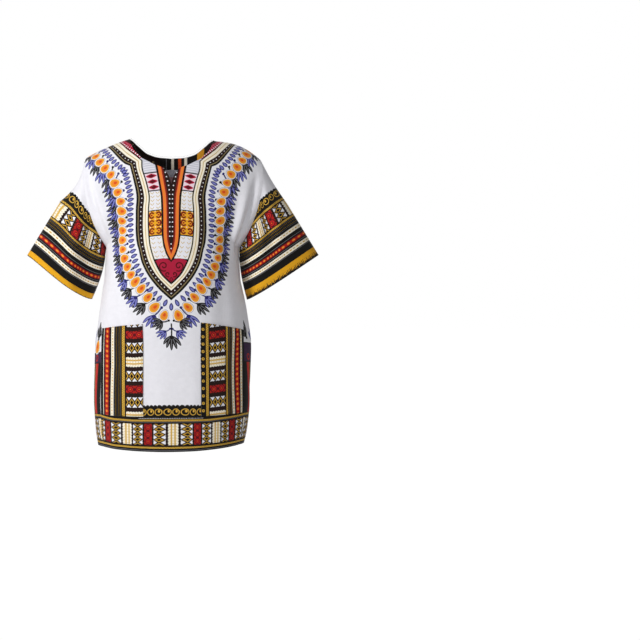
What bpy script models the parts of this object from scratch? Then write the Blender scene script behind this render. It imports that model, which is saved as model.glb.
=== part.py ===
"""A worn, hollow dashiki shirt: loose body, dropped straight sleeves, slit neck and two patch pockets.

Metres, +Z up. The front faces -Y and +X is the right of someone looking at the front. The origin is
where the wearer's shoulders hold the shirt: midway between the two neck points of the shoulder seams.
Every piece is a thin wall. A piece is a grid of outer points, moved in by the cloth's thickness.
"""

import math
from collections import namedtuple

import bpy
import numpy as np

CLOTH = 0.0012
SEAM_GAP = 0.0003
ARMPIT_EASE = 2.5
HEM_DROP = 0.848
HEM_FOLD = 0.016
HEM_EXTRA = 0.0007
ARMPIT_DROP = 0.262
YOKE_DROP = 0.200
NECK_HALF = 0.107
SLIT_HALF = 0.0200
SHOULDER_HALF = 0.218
SHOULDER_LIFT = {-1: -0.001, 1: 0.010}
LIFT_FADE = 0.07
CENTRE_SHIFT = -0.0035
SHOULDER_SHIFT = 0.005
SHIFT_FADE = 0.15
HEM_SHIFT = -0.004
HEM_SHIFT_FROM = 0.735
ROUNDNESS = 2.3

# The cloth hangs from the shoulder line. "drop" is the distance down the cloth from that line. The
# centre table gives the shirt's profile at the middle of the front and of the back.
Centre = namedtuple("Centre", "drop front_y front_z back_y back_z")
CENTRES = [
    Centre(drop=0.000, front_y=-0.0003, front_z=0.0175, back_y=0.0003, back_z=0.0175),
    Centre(drop=0.020, front_y=-0.0200, front_z=0.0165, back_y=0.0195, back_z=0.0155),
    Centre(drop=0.045, front_y=-0.0430, front_z=0.0060, back_y=0.0415, back_z=0.0040),
    Centre(drop=0.075, front_y=-0.0650, front_z=-0.0140, back_y=0.0620, back_z=-0.0180),
    Centre(drop=0.110, front_y=-0.0835, front_z=-0.0435, back_y=0.0790, back_z=-0.0485),
    Centre(drop=0.150, front_y=-0.0990, front_z=-0.0800, back_y=0.0910, back_z=-0.0865),
    Centre(drop=0.200, front_y=-0.1140, front_z=-0.1275, back_y=0.1010, back_z=-0.1355),
    Centre(drop=0.262, front_y=-0.1270, front_z=-0.1880, back_y=0.1090, back_z=-0.1965),
    Centre(drop=0.350, front_y=-0.1345, front_z=-0.2755, back_y=0.1140, back_z=-0.2830),
    Centre(drop=0.480, front_y=-0.1330, front_z=-0.4050, back_y=0.1120, back_z=-0.4090),
    Centre(drop=0.600, front_y=-0.1360, front_z=-0.5250, back_y=0.1210, back_z=-0.5270),
    Centre(drop=0.735, front_y=-0.1410, front_z=-0.6610, back_y=0.1300, back_z=-0.6600),
    Centre(drop=0.810, front_y=-0.1400, front_z=-0.7370, back_y=0.1300, back_z=-0.7320),
    Centre(drop=0.848, front_y=-0.1360, front_z=-0.7775, back_y=0.1260, back_z=-0.7700),
]

# Where a panel ends: at the armhole down to the armpit, and at the side seam below it. "wrap" is how
# far round its section's curve the panel goes, in degrees from its middle.
Edge = namedtuple("Edge", "drop x front_y back_y z front_wrap back_wrap")
ARMHOLE = [
    Edge(drop=0.000, x=0.2180, front_y=-0.0003, back_y=0.0003, z=-0.0430, front_wrap=55, back_wrap=55),
    Edge(drop=0.020, x=0.2215, front_y=-0.0180, back_y=0.0180, z=-0.0510, front_wrap=56, back_wrap=56),
    Edge(drop=0.045, x=0.2240, front_y=-0.0360, back_y=0.0370, z=-0.0690, front_wrap=58, back_wrap=58),
    Edge(drop=0.075, x=0.2235, front_y=-0.0500, back_y=0.0520, z=-0.0970, front_wrap=61, back_wrap=61),
    Edge(drop=0.110, x=0.2200, front_y=-0.0600, back_y=0.0630, z=-0.1320, front_wrap=65, back_wrap=65),
    Edge(drop=0.150, x=0.2115, front_y=-0.0640, back_y=0.0680, z=-0.1720, front_wrap=70, back_wrap=70),
    Edge(drop=0.200, x=0.1955, front_y=-0.0560, back_y=0.0600, z=-0.2190, front_wrap=77, back_wrap=77),
    Edge(drop=0.235, x=0.1810, front_y=-0.0360, back_y=0.0380, z=-0.2490, front_wrap=83, back_wrap=84),
    Edge(drop=0.253, x=0.1720, front_y=-0.0170, back_y=0.0150, z=-0.2650, front_wrap=86, back_wrap=88),
    Edge(drop=0.262, x=0.1680, front_y=-0.0030, back_y=-0.0030, z=-0.2720, front_wrap=88, back_wrap=92),
]
SIDE = [
    Edge(drop=0.262, x=0.1680, front_y=-0.0030, back_y=-0.0030, z=-0.2720, front_wrap=88, back_wrap=92),
    Edge(drop=0.350, x=0.1690, front_y=-0.0250, back_y=-0.0250, z=-0.3380, front_wrap=80, back_wrap=100),
    Edge(drop=0.480, x=0.1760, front_y=-0.0460, back_y=-0.0460, z=-0.4380, front_wrap=72, back_wrap=108),
    Edge(drop=0.600, x=0.1775, front_y=-0.0640, back_y=-0.0640, z=-0.5340, front_wrap=64, back_wrap=116),
    Edge(drop=0.735, x=0.1800, front_y=-0.0660, back_y=-0.0660, z=-0.6570, front_wrap=64, back_wrap=116),
    Edge(drop=0.810, x=0.1750, front_y=-0.0640, back_y=-0.0640, z=-0.7320, front_wrap=64, back_wrap=116),
    Edge(drop=0.848, x=0.1690, front_y=-0.0620, back_y=-0.0620, z=-0.7700, front_wrap=64, back_wrap=116),
]

# The neckline: how far down the cloth it is cut, by distance from the panel's middle line.
Neck = namedtuple("Neck", "x drop")
FRONT_NECK = [
    Neck(x=0.0000, drop=0.1905),
    Neck(x=0.0058, drop=0.1700),
    Neck(x=0.0147, drop=0.1550),
    Neck(x=0.0200, drop=0.1475),
    Neck(x=0.0425, drop=0.1345),
    Neck(x=0.0595, drop=0.1210),
    Neck(x=0.0715, drop=0.1110),
    Neck(x=0.0830, drop=0.0955),
    Neck(x=0.0930, drop=0.0790),
    Neck(x=0.1025, drop=0.0480),
    Neck(x=0.1070, drop=0.0000),
]
BACK_NECK = [
    Neck(x=0.0000, drop=0.0960),
    Neck(x=0.0300, drop=0.0920),
    Neck(x=0.0600, drop=0.0780),
    Neck(x=0.0830, drop=0.0520),
    Neck(x=0.0985, drop=0.0250),
    Neck(x=0.1070, drop=0.0000),
]

# Folds on a panel, as a line in the flat cloth from one place to another. "across" is -1 at the left
# edge and 1 at the right edge. A depth above zero stands out, and one below zero sinks in.
Fold = namedtuple("Fold", "across_a drop_a across_b drop_b width depth")
FRONT_FOLDS = [
    Fold(across_a=-0.93, drop_a=0.060, across_b=-0.74, drop_b=0.285, width=0.011, depth=-0.0075),
    Fold(across_a=-0.80, drop_a=0.080, across_b=-0.66, drop_b=0.290, width=0.016, depth=0.0050),
    Fold(across_a=0.90, drop_a=0.070, across_b=0.78, drop_b=0.300, width=0.010, depth=-0.0080),
    Fold(across_a=0.76, drop_a=0.100, across_b=0.70, drop_b=0.330, width=0.015, depth=0.0055),
    Fold(across_a=0.66, drop_a=0.150, across_b=0.62, drop_b=0.360, width=0.013, depth=-0.0045),
    Fold(across_a=-0.58, drop_a=0.330, across_b=-0.62, drop_b=0.560, width=0.026, depth=-0.0030),
    Fold(across_a=0.52, drop_a=0.350, across_b=0.60, drop_b=0.600, width=0.028, depth=-0.0035),
    Fold(across_a=0.80, drop_a=0.560, across_b=0.74, drop_b=0.760, width=0.028, depth=-0.0045),
    Fold(across_a=-0.20, drop_a=0.560, across_b=-0.24, drop_b=0.860, width=0.030, depth=-0.0030),
    Fold(across_a=0.26, drop_a=0.600, across_b=0.22, drop_b=0.870, width=0.030, depth=0.0030),
    Fold(across_a=-0.66, drop_a=0.640, across_b=-0.72, drop_b=0.870, width=0.024, depth=0.0035),
]
BACK_FOLDS = [
    Fold(across_a=-0.70, drop_a=0.070, across_b=-0.52, drop_b=0.320, width=0.012, depth=-0.0075),
    Fold(across_a=-0.58, drop_a=0.090, across_b=-0.42, drop_b=0.360, width=0.018, depth=0.0050),
    Fold(across_a=0.72, drop_a=0.060, across_b=0.56, drop_b=0.300, width=0.012, depth=-0.0080),
    Fold(across_a=0.60, drop_a=0.100, across_b=0.46, drop_b=0.380, width=0.018, depth=0.0055),
    Fold(across_a=-0.12, drop_a=0.380, across_b=-0.16, drop_b=0.870, width=0.030, depth=0.0065),
    Fold(across_a=-0.30, drop_a=0.420, across_b=-0.36, drop_b=0.870, width=0.024, depth=-0.0070),
    Fold(across_a=0.16, drop_a=0.400, across_b=0.20, drop_b=0.870, width=0.028, depth=-0.0075),
    Fold(across_a=0.40, drop_a=0.440, across_b=0.44, drop_b=0.870, width=0.028, depth=0.0060),
    Fold(across_a=-0.60, drop_a=0.500, across_b=-0.62, drop_b=0.870, width=0.026, depth=0.0050),
    Fold(across_a=0.66, drop_a=0.520, across_b=0.64, drop_b=0.870, width=0.024, depth=-0.0045),
    Fold(across_a=0.86, drop_a=0.375, across_b=0.77, drop_b=0.700, width=0.024, depth=0.0080),
]

# A sleeve is a tube from its armhole to its cuff. The cuff is an oval seen edge on from the front.
Sleeve = namedtuple("Sleeve", "name side top_x top_z under_x under_z depth sag dip hug")
SLEEVES = [
    Sleeve(name="sleeve_left", side=-1, top_x=0.364, top_z=-0.292, under_x=0.203, under_z=-0.400,
           depth=0.058, sag=0.010, dip=0.013, hug=0.006),
    Sleeve(name="sleeve_right", side=1, top_x=0.375, top_z=-0.288, under_x=0.190, under_z=-0.403,
           depth=0.058, sag=0.003, dip=0.003, hug=0.0045),
]
# Folds along a sleeve, by the angle round it: 0 at the top, 90 in front, 180 under the arm.
SleeveFold = namedtuple("SleeveFold", "angle_a angle_b start end width depth")
SLEEVE_FOLDS = {
    "sleeve_left": [
        SleeveFold(angle_a=86, angle_b=112, start=0.05, end=1.10, width=17, depth=0.0085),
        SleeveFold(angle_a=120, angle_b=140, start=0.02, end=1.05, width=15, depth=-0.0075),
        SleeveFold(angle_a=52, angle_b=66, start=0.10, end=0.75, width=15, depth=-0.0040),
        SleeveFold(angle_a=250, angle_b=236, start=0.05, end=1.05, width=18, depth=0.0070),
        SleeveFold(angle_a=222, angle_b=212, start=0.05, end=1.00, width=14, depth=-0.0060),
    ],
    "sleeve_right": [
        SleeveFold(angle_a=62, angle_b=78, start=0.03, end=0.62, width=11, depth=0.0060),
        SleeveFold(angle_a=84, angle_b=100, start=0.03, end=0.72, width=12, depth=-0.0075),
        SleeveFold(angle_a=112, angle_b=126, start=0.02, end=1.05, width=17, depth=0.0060),
        SleeveFold(angle_a=240, angle_b=228, start=0.05, end=1.05, width=18, depth=0.0070),
        SleeveFold(angle_a=276, angle_b=282, start=0.05, end=0.80, width=15, depth=-0.0055),
    ],
}
SLEEVE_RINGS = 13
SLEEVE_BULGE = 0.012

# A patch pocket runs from its inner edge to the side seam. Its mouth slopes down to the side.
Pocket = namedtuple("Pocket", "name side inner outer mouth_inner mouth_outer foot_inner foot_outer")
POCKETS = [
    Pocket(name="pocket_left", side=-1, inner=0.277, outer=0.965, mouth_inner=0.536,
           mouth_outer=0.529, foot_inner=0.7645, foot_outer=0.7660),
    Pocket(name="pocket_right", side=1, inner=0.280, outer=0.985, mouth_inner=0.532,
           mouth_outer=0.534, foot_inner=0.7645, foot_outer=0.7660),
]
POCKET_CLOTH = 0.0010
POCKET_GAP = 0.0008
POCKET_GAPE = 0.0025
POCKET_COLUMNS = 12
POCKET_ROWS = 12

FACING_WIDTH = 0.040
FACING_CLOTH = 0.0008
FACING_GAP = 0.0004
LABEL_HALF = 0.019
LABEL_FROM = 0.030
LABEL_TO = 0.049
LABEL_CLOTH = 0.0006

SLIT_COLUMNS = 5
NECK_COLUMNS = 8
BACK_NECK_COLUMNS = 8
SHOULDER_COLUMNS = 8
FACING_ROWS = 3
UPPER_ROWS = 11
CHEST_ROWS = 3
LOWER_ROWS = 15

WHITE = (0.80, 0.79, 0.84)
COLOURS = {
    "front_panel": WHITE,
    "back_panel": WHITE,
    "sleeve_left": (0.10, 0.08, 0.07),
    "sleeve_right": (0.10, 0.08, 0.07),
    "pocket_left": (0.32, 0.20, 0.08),
    "pocket_right": (0.32, 0.20, 0.08),
    "neck_facing": (0.12, 0.07, 0.05),
    "neck_label": (0.78, 0.76, 0.76),
}
COTTON_ROUGHNESS = 0.85


def clear_scene():
    for old in list(bpy.data.objects):
        bpy.data.objects.remove(old, do_unlink=True)


def smooth(rows, column, at):
    """The table's column at these drops, on a cubic curve that doesn't overshoot between rows."""
    knots = np.array([row[0] for row in rows])
    values = np.array([getattr(row, column) for row in rows])
    at = np.clip(np.asarray(at, float), knots[0], knots[-1])
    step = np.diff(knots)
    rise = np.diff(values) / step
    slope = np.zeros(len(knots))
    both = rise[:-1] * rise[1:] > 0
    slope[1:-1][both] = 2 * rise[:-1][both] * rise[1:][both] / (rise[:-1] + rise[1:])[both]
    slope[0] = rise[0]
    slope[-1] = rise[-1]
    low = np.clip(np.searchsorted(knots, at) - 1, 0, len(step) - 1)
    t = (at - knots[low]) / step[low]
    start = values[low] * (1 + 2 * t) * (1 - t) ** 2 + slope[low] * step[low] * t * (1 - t) ** 2
    end = values[low + 1] * t**2 * (3 - 2 * t) + slope[low + 1] * step[low] * t**2 * (t - 1)
    return start + end


def round_sine(angle):
    return np.sign(np.sin(angle)) * np.abs(np.sin(angle)) ** (2 / ROUNDNESS)


def round_cosine(angle):
    return np.sign(np.cos(angle)) * np.abs(np.cos(angle)) ** (2 / ROUNDNESS)


def across_at(x):
    """The place across the shoulder row, from 0 to 1, that lies this far from the middle."""
    wrap = math.radians(ARMHOLE[0].front_wrap)
    turn = np.arcsin((np.asarray(x) / SHOULDER_HALF * round_sine(wrap)) ** (ROUNDNESS / 2))
    return turn / wrap


def edge(column, drop):
    """The armhole's value down to the armpit, and the side seam's below it."""
    return np.where(drop < ARMPIT_DROP, smooth(ARMHOLE, column, drop), smooth(SIDE, column, drop))


def sideways_shift(share, drop):
    """How far a place lies to the right, as the worn shirt hangs a little askew."""
    at_edge = SHOULDER_SHIFT * np.exp(-drop / SHIFT_FADE)
    near_hem = np.clip((drop - HEM_SHIFT_FROM) / (HEM_DROP - HEM_SHIFT_FROM), 0, 1)
    at_edge = at_edge + HEM_SHIFT * near_hem**2
    return CENTRE_SHIFT * (1 - share**2) + at_edge * share**2


def bare_panel(panel, across, drop):
    """A point of the front or the back, without folds."""
    share = np.abs(across)
    wrap = np.radians(edge(panel + "_wrap", drop))
    middle_y = smooth(CENTRES, panel + "_y", drop)
    middle_z = smooth(CENTRES, panel + "_z", drop)
    edge_x = edge("x", drop)
    edge_y = edge(panel + "_y", drop)
    edge_z = edge("z", drop)
    out = round_sine(share * wrap) / round_sine(wrap)
    back = (1 - round_cosine(share * wrap)) / (1 - round_cosine(wrap))
    half_turn = np.minimum(wrap, math.radians(88))
    sink = (round_sine(share * half_turn) / round_sine(half_turn)) ** 2
    lift = np.where(across < 0, SHOULDER_LIFT[-1], SHOULDER_LIFT[1])
    on_shoulder = np.sin(math.pi * np.clip((share - 0.4) / 0.6, 0, 1)) * np.exp(-drop / LIFT_FADE)
    return np.stack(
        [
            np.sign(across) * edge_x * out + sideways_shift(share, drop),
            middle_y + (edge_y - middle_y) * back,
            middle_z + (edge_z - middle_z) * sink + lift * on_shoulder,
        ],
        axis=-1,
    )


def unit(vectors):
    return vectors / np.maximum(np.linalg.norm(vectors, axis=-1, keepdims=True), 1e-12)


def panel_normal(panel, across, drop):
    """Outward direction of a panel, from small steps along it."""
    step = 0.004
    reach = 0.999
    left = bare_panel(panel, np.clip(across - step, -reach, reach), drop)
    right = bare_panel(panel, np.clip(across + step, -reach, reach), drop)
    above = bare_panel(panel, across, np.clip(drop - step, 0.0005, HEM_DROP))
    below = bare_panel(panel, across, np.clip(drop + step, 0.0005, HEM_DROP))
    turn = 1 if panel == "front" else -1
    return unit(turn * np.cross(right - left, above - below))


def fold_height(folds, across, drop):
    """How far the folds lift the cloth here. They fade out at a panel's edges."""
    height = np.zeros(np.broadcast(across, drop).shape)
    for fold in folds:
        start = np.array([fold.across_a * SHOULDER_HALF, fold.drop_a])
        run = np.array([fold.across_b * SHOULDER_HALF, fold.drop_b]) - start
        length = np.linalg.norm(run)
        run = run / length
        dx = across * SHOULDER_HALF - start[0]
        dz = drop - start[1]
        along = (dx * run[0] + dz * run[1]) / length
        aside = dx * run[1] - dz * run[0]
        taper = np.sin(math.pi * np.clip(along, 0, 1)) ** 0.8
        height = height + fold.depth * np.exp(-((aside / fold.width) ** 2)) * taper
    return height * (1 - np.abs(across) ** 14)


def panel_point(panel, across, drop, lift=0.0):
    """A point of the front or the back with its folds, moved out by lift."""
    across = np.asarray(across, float)
    drop = np.asarray(drop, float)
    folds = FRONT_FOLDS if panel == "front" else BACK_FOLDS
    height = fold_height(folds, across, drop) + lift
    return bare_panel(panel, across, drop) + panel_normal(panel, across, drop) * height[..., None]


def neck_drop(panel, x):
    rows = FRONT_NECK if panel == "front" else BACK_NECK
    return smooth(rows, "drop", np.abs(x))


def half_columns(panel):
    """Where a panel's columns start, from the middle out to its edge, as places across it."""
    shoulder = np.linspace(NECK_HALF, SHOULDER_HALF, SHOULDER_COLUMNS + 1)[1:]
    if panel == "back":
        neck = NECK_HALF * np.sin(np.linspace(0, math.pi / 2, BACK_NECK_COLUMNS + 1))
        return across_at(np.concatenate([neck, shoulder]))
    slit = np.linspace(0, SLIT_HALF, SLIT_COLUMNS)
    turn = np.linspace(0, math.pi / 2, NECK_COLUMNS + 1)[1:]
    neck = SLIT_HALF + (NECK_HALF - SLIT_HALF) * np.sin(turn)
    return across_at(np.concatenate([slit, neck, shoulder]))


def column_tops(panel, columns):
    """The drop where each column ends: on the neckline, or at the shoulder seam."""
    tops = np.zeros(len(columns))
    for i, across in enumerate(columns):
        drop = 0.1
        for _ in range(40):
            x = float(bare_panel(panel, np.array(across), np.array(drop))[0]) - CENTRE_SHIFT
            wanted = float(neck_drop(panel, x)) if abs(x) < NECK_HALF - 1e-6 else 0.0
            drop += 0.5 * (wanted - drop)
        tops[i] = drop if across < float(across_at(NECK_HALF)) - 1e-6 else 0.0
    return tops


def upper_drops(tops):
    """The drops of a panel's upper rows: some within the facing's width, and the rest to the yoke line."""
    first = np.linspace(0, FACING_WIDTH, FACING_ROWS + 1)[:, None]
    rest = np.linspace(0, 1, UPPER_ROWS - FACING_ROWS + 1)[1:, None]
    tops = np.asarray(tops, float)[None, :]
    return np.vstack([tops + first, tops + FACING_WIDTH + (YOKE_DROP - FACING_WIDTH - tops) * rest])


def edge_drops():
    """The drops of a panel's rows along its edge, from the shoulder down to the armpit."""
    chest = np.linspace(YOKE_DROP, ARMPIT_DROP, CHEST_ROWS + 1)[1:]
    return np.concatenate([upper_drops([0.0])[:, 0], chest])


def panel_grid(panel):
    """Places across and drops of a panel's grid. Its rows crowd together above the yoke line."""
    half = half_columns(panel)
    tops = column_tops(panel, half)
    columns = np.concatenate([-half[:0:-1], half])
    tops = np.concatenate([tops[:0:-1], tops])
    upper = upper_drops(tops)
    chest = edge_drops()[UPPER_ROWS + 1 :]
    lower = np.linspace(ARMPIT_DROP, HEM_DROP - HEM_FOLD, LOWER_ROWS + 1)[1:]
    below = np.concatenate([chest, lower, [HEM_DROP]])
    rows = np.vstack([upper, np.repeat(below[:, None], len(columns), axis=1)])
    return np.repeat(columns[None, :], len(rows), axis=0), rows


def armhole_loop(side):
    """The armhole seam's points: down the front from the shoulder to the armpit and up the back."""
    down = edge_drops()
    front = bare_panel("front", np.full(len(down), float(side)), down)
    back = bare_panel("back", np.full(len(down), float(side)), down)
    front[-1] = back[-1] = (front[-1] + back[-1]) / 2
    front[0] = (front[0] + back[0]) / 2
    return np.vstack([front, back[-2:0:-1]])


def sleeve_grid(sleeve):
    """The rings of a sleeve, from the armhole to the cuff."""
    loop = armhole_loop(sleeve.side)
    count = len(loop)
    lengths = np.linalg.norm(np.roll(loop, -1, axis=0) - loop, axis=1)
    turn = 2 * math.pi * np.concatenate([[0], np.cumsum(lengths)[:-1]]) / lengths.sum()
    half = count // 2
    turn[: half + 1] *= math.pi / turn[half]
    turn[half + 1 :] = math.pi + (turn[half + 1 :] - turn[half]) * math.pi / (2 * math.pi - turn[half])
    top = np.array([sleeve.side * sleeve.top_x, 0, sleeve.top_z])
    foot = np.array([sleeve.side * sleeve.under_x, 0, sleeve.under_z])
    middle = (top + foot) / 2
    reach = (top - foot) / 2
    outward = unit(np.array([-reach[2] * sleeve.side, 0, reach[0] * sleeve.side]))
    outward = -outward if outward[2] > 0 else outward
    in_front = np.array([0, -sleeve.depth, 0])
    cuff = middle + np.cos(turn)[:, None] * reach + np.sin(turn)[:, None] * in_front
    cuff = cuff + outward * (sleeve.sag * np.maximum(np.sin(turn - 0.5), 0) ** 2)[:, None]
    rings = []
    for share in np.linspace(0, 1, SLEEVE_RINGS):
        ring = loop * (1 - share) + cuff * share
        swell = math.sin(math.pi * share) * SLEEVE_BULGE
        across = np.sin(turn)[:, None] * np.array([0, -1.0, 0])
        ring = ring + across * swell * 0.6
        dip = math.sin(math.pi * min(share / 0.45, 1.0)) * sleeve.dip
        on_top = np.maximum(np.cos(turn), 0)[:, None] ** 2
        ring = ring - unit(reach) * dip * on_top
        under = np.maximum(-np.cos(turn), 0)[:, None] * math.sin(math.pi * share)
        ring = ring + np.array([-sleeve.side * sleeve.hug, 0, 0]) * under
        rings.append(ring)
    rings = np.array(rings)
    outwards = grid_normals(rings, around=True, centre=(loop.mean(axis=0) + middle) / 2)
    degrees = np.degrees(turn)
    for row, share in enumerate(np.linspace(0, 1, SLEEVE_RINGS)):
        height = np.zeros(count)
        for fold in SLEEVE_FOLDS[sleeve.name]:
            along = np.clip((share - fold.start) / (fold.end - fold.start), 0, 1)
            angle = fold.angle_a + (fold.angle_b - fold.angle_a) * share
            taper = math.sin(math.pi * along) ** 0.8
            height += fold.depth * taper * np.exp(-(((degrees - angle) / fold.width) ** 2))
        rings[row] += outwards[row] * height[:, None]
    return rings


def grid_normals(points, around, centre):
    """Unit normals of a grid of points, turned to face away from a centre."""
    if around:
        right = np.roll(points, -1, axis=1) - np.roll(points, 1, axis=1)
    else:
        right = np.gradient(points, axis=1)
    down = np.gradient(points, axis=0)
    normals = unit(np.cross(right, down))
    away = np.sum(normals * (points - np.asarray(centre)), axis=-1).mean()
    return normals if away > 0 else -normals


def share_normals(*places):
    """Gives pieces that meet at a seam one common direction there, so that their walls stay apart."""
    common = unit(sum(normals[index] for normals, index in places))
    for normals, index in places:
        normals[index] = common


def share_where_alike(*places):
    """The same for two pieces, except under the arm, where the sleeve faces back to the body."""
    (first, here), (second, there) = places
    if first[here] @ second[there] > 0.2:
        share_normals(*places)


def draw_back(points, edge, inner, gap=SEAM_GAP / 2):
    """Moves an edge of a grid towards the points beside it, to leave half of a seam's gap."""
    run = points[inner] - points[edge]
    points[edge] = points[edge] + unit(run) * np.reshape(gap, (-1, 1))


def wall(name, outer, inner, around=False):
    """A closed wall between two grids of points, as an object with its own material."""
    rows, columns = outer.shape[:2]
    points = np.concatenate([outer.reshape(-1, 3), inner.reshape(-1, 3)])
    shift = rows * columns
    wraps = columns if around else columns - 1
    faces = []
    for r in range(rows - 1):
        for c in range(wraps):
            d = (c + 1) % columns
            quad = (r * columns + c, r * columns + d, (r + 1) * columns + d, (r + 1) * columns + c)
            turn = quad if c < columns // 2 else quad[1:] + quad[:1]
            for corners in ((turn[0], turn[1], turn[2]), (turn[0], turn[2], turn[3])):
                faces.append(corners)
                faces.append(tuple(shift + v for v in reversed(corners)))
    for r in (0, rows - 1):
        for c in range(wraps):
            a, b = r * columns + c, r * columns + (c + 1) % columns
            faces.append((b, a, shift + a, shift + b) if r == 0 else (a, b, shift + b, shift + a))
    if not around:
        for r in range(rows - 1):
            for c in (0, columns - 1):
                a, b = r * columns + c, (r + 1) * columns + c
                faces.append((a, b, shift + b, shift + a) if c == 0 else (b, a, shift + a, shift + b))
    mesh = bpy.data.meshes.new(name)
    mesh.from_pydata([tuple(p) for p in points], [], faces)
    face_outwards(mesh)
    mesh.shade_smooth()
    mesh.set_sharp_from_angle(angle=math.radians(50))
    mesh.materials.append(cotton(name))
    made = bpy.data.objects.new(name, mesh)
    bpy.context.scene.collection.objects.link(made)
    return made


def face_outwards(mesh):
    """Turns every face round if the closed mesh holds a negative volume."""
    mesh.calc_loop_triangles()
    corners = np.array([[mesh.vertices[v].co for v in t.vertices] for t in mesh.loop_triangles])
    volume = np.einsum("ij,ij->i", corners[:, 0], np.cross(corners[:, 1], corners[:, 2])).sum()
    if volume < 0:
        mesh.flip_normals()


def cotton(name):
    """Plain woven cotton in the piece's main colour."""
    material = bpy.data.materials.new("cotton_" + name)
    material.use_nodes = True
    shader = material.node_tree.nodes["Principled BSDF"]
    shader.inputs["Base Color"].default_value = (*COLOURS[name], 1.0)
    shader.inputs["Roughness"].default_value = COTTON_ROUGHNESS
    shader.inputs["Metallic"].default_value = 0.0
    return material


def make_body_and_sleeves():
    """The two panels and the two sleeves, which meet at the shoulder, armhole and side seams."""
    grids = {panel: panel_grid(panel) for panel in ("front", "back")}
    points = {panel: panel_point(panel, *grids[panel]) for panel in grids}
    normals = {panel: panel_normal(panel, *grids[panel]) for panel in grids}
    armhole_rows = UPPER_ROWS + CHEST_ROWS
    shoulder = slice(-SHOULDER_COLUMNS - 1, None)
    for columns in (shoulder, slice(0, SHOULDER_COLUMNS + 1)):
        share_normals((normals["front"], (0, columns)), (normals["back"], (0, columns)))
    below = slice(armhole_rows, None)
    for edge in (0, -1):
        share_normals((normals["front"], (below, edge)), (normals["back"], (below, edge)))

    for sleeve in SLEEVES:
        rings = sleeve_grid(sleeve)
        middle = rings.reshape(-1, 3).mean(axis=0)
        out = grid_normals(rings, around=True, centre=middle)
        edge = 0 if sleeve.side < 0 else -1
        half = rings.shape[1] // 2
        share_normals((out, (0, 0)), (normals["front"], (0, edge)), (normals["back"], (0, edge)))
        for row in range(1, armhole_rows):
            share_where_alike((out, (0, row)), (normals["front"], (row, edge)))
            share_where_alike((out, (0, 2 * half - row)), (normals["back"], (row, edge)))
        turn = np.linspace(0, 2 * math.pi, rings.shape[1], endpoint=False)
        draw_back(rings, 0, 1, SEAM_GAP * (1 + ARMPIT_EASE * np.maximum(-np.cos(turn), 0)))
        wall(sleeve.name, rings, rings - out * CLOTH, around=True)

    for panel in ("front", "back"):
        sheet = points[panel]
        draw_back(sheet, (slice(None), 0), (slice(None), 1))
        draw_back(sheet, (slice(None), -1), (slice(None), -2))
        draw_back(sheet, 0, 1)
        drops = grids[panel][1]
        thickness = CLOTH + HEM_EXTRA * (drops > HEM_DROP - HEM_FOLD - 1e-6)
        wall(panel + "_panel", sheet, sheet - normals[panel] * thickness[..., None])
    make_facing(points["back"], normals["back"])


def make_pocket(pocket):
    """A patch pocket: the front panel's own points moved out, and gaping a little at the mouth."""
    width = np.linspace(0, 1, POCKET_COLUMNS + 1)
    height = np.linspace(0, 1, POCKET_ROWS + 1)[:, None]
    across = pocket.side * (pocket.inner + (pocket.outer - pocket.inner) * width)[None, :]
    mouth = pocket.mouth_inner + (pocket.mouth_outer - pocket.mouth_inner) * width
    foot = pocket.foot_inner + (pocket.foot_outer - pocket.foot_inner) * width
    drop = mouth + (foot - mouth) * height
    across = across + 0 * drop
    gape = POCKET_GAPE * np.sin(math.pi * width) ** 2 * np.maximum(1 - height / 0.45, 0) ** 1.5
    inner = panel_point("front", across, drop, POCKET_GAP + gape)
    outer = panel_point("front", across, drop, POCKET_GAP + POCKET_CLOTH + gape)
    wall(pocket.name, outer, inner)


def make_facing(sheet, out):
    """The printed strip inside the back neckline, from the back panel's own points moved in."""
    neck = slice(SHOULDER_COLUMNS, -SHOULDER_COLUMNS)
    strip = sheet[: FACING_ROWS + 1, neck]
    inward = -out[: FACING_ROWS + 1, neck]
    near = CLOTH + FACING_GAP
    wall("neck_facing", strip + inward * near, strip + inward * (near + FACING_CLOTH))


def make_label():
    """A bare woven label that hangs from the facing at the middle of the back."""
    reach = float(across_at(LABEL_HALF))
    across = np.linspace(-reach, reach, 5)[None, :]
    top = float(neck_drop("back", 0.0))
    drop = top + np.linspace(LABEL_FROM, LABEL_TO, 5)[:, None]
    across = across + 0 * drop
    near = -(CLOTH + 2 * FACING_GAP + FACING_CLOTH)
    outer = panel_point("back", across, drop, near)
    inner = panel_point("back", across, drop, near - LABEL_CLOTH)
    wall("neck_label", outer, inner)


clear_scene()
make_body_and_sleeves()
for each in POCKETS:
    make_pocket(each)
make_label()
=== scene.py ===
# %% [markdown]
# # A dashiki shirt in printed cotton
# The real shirt is two big panels, two straight sleeves and two patch pockets, all cut from one cloth
# with the pattern printed on it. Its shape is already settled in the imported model. This lesson makes the
# cloth itself: thin walls on the same curves, with every printed shape cut into the mesh, so that the
# print stays sharp at any distance without an image.

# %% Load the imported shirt
import math
from collections import namedtuple

import bpy
import numpy as np
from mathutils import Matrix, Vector
from mathutils.geometry import delaunay_2d_cdt


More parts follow.
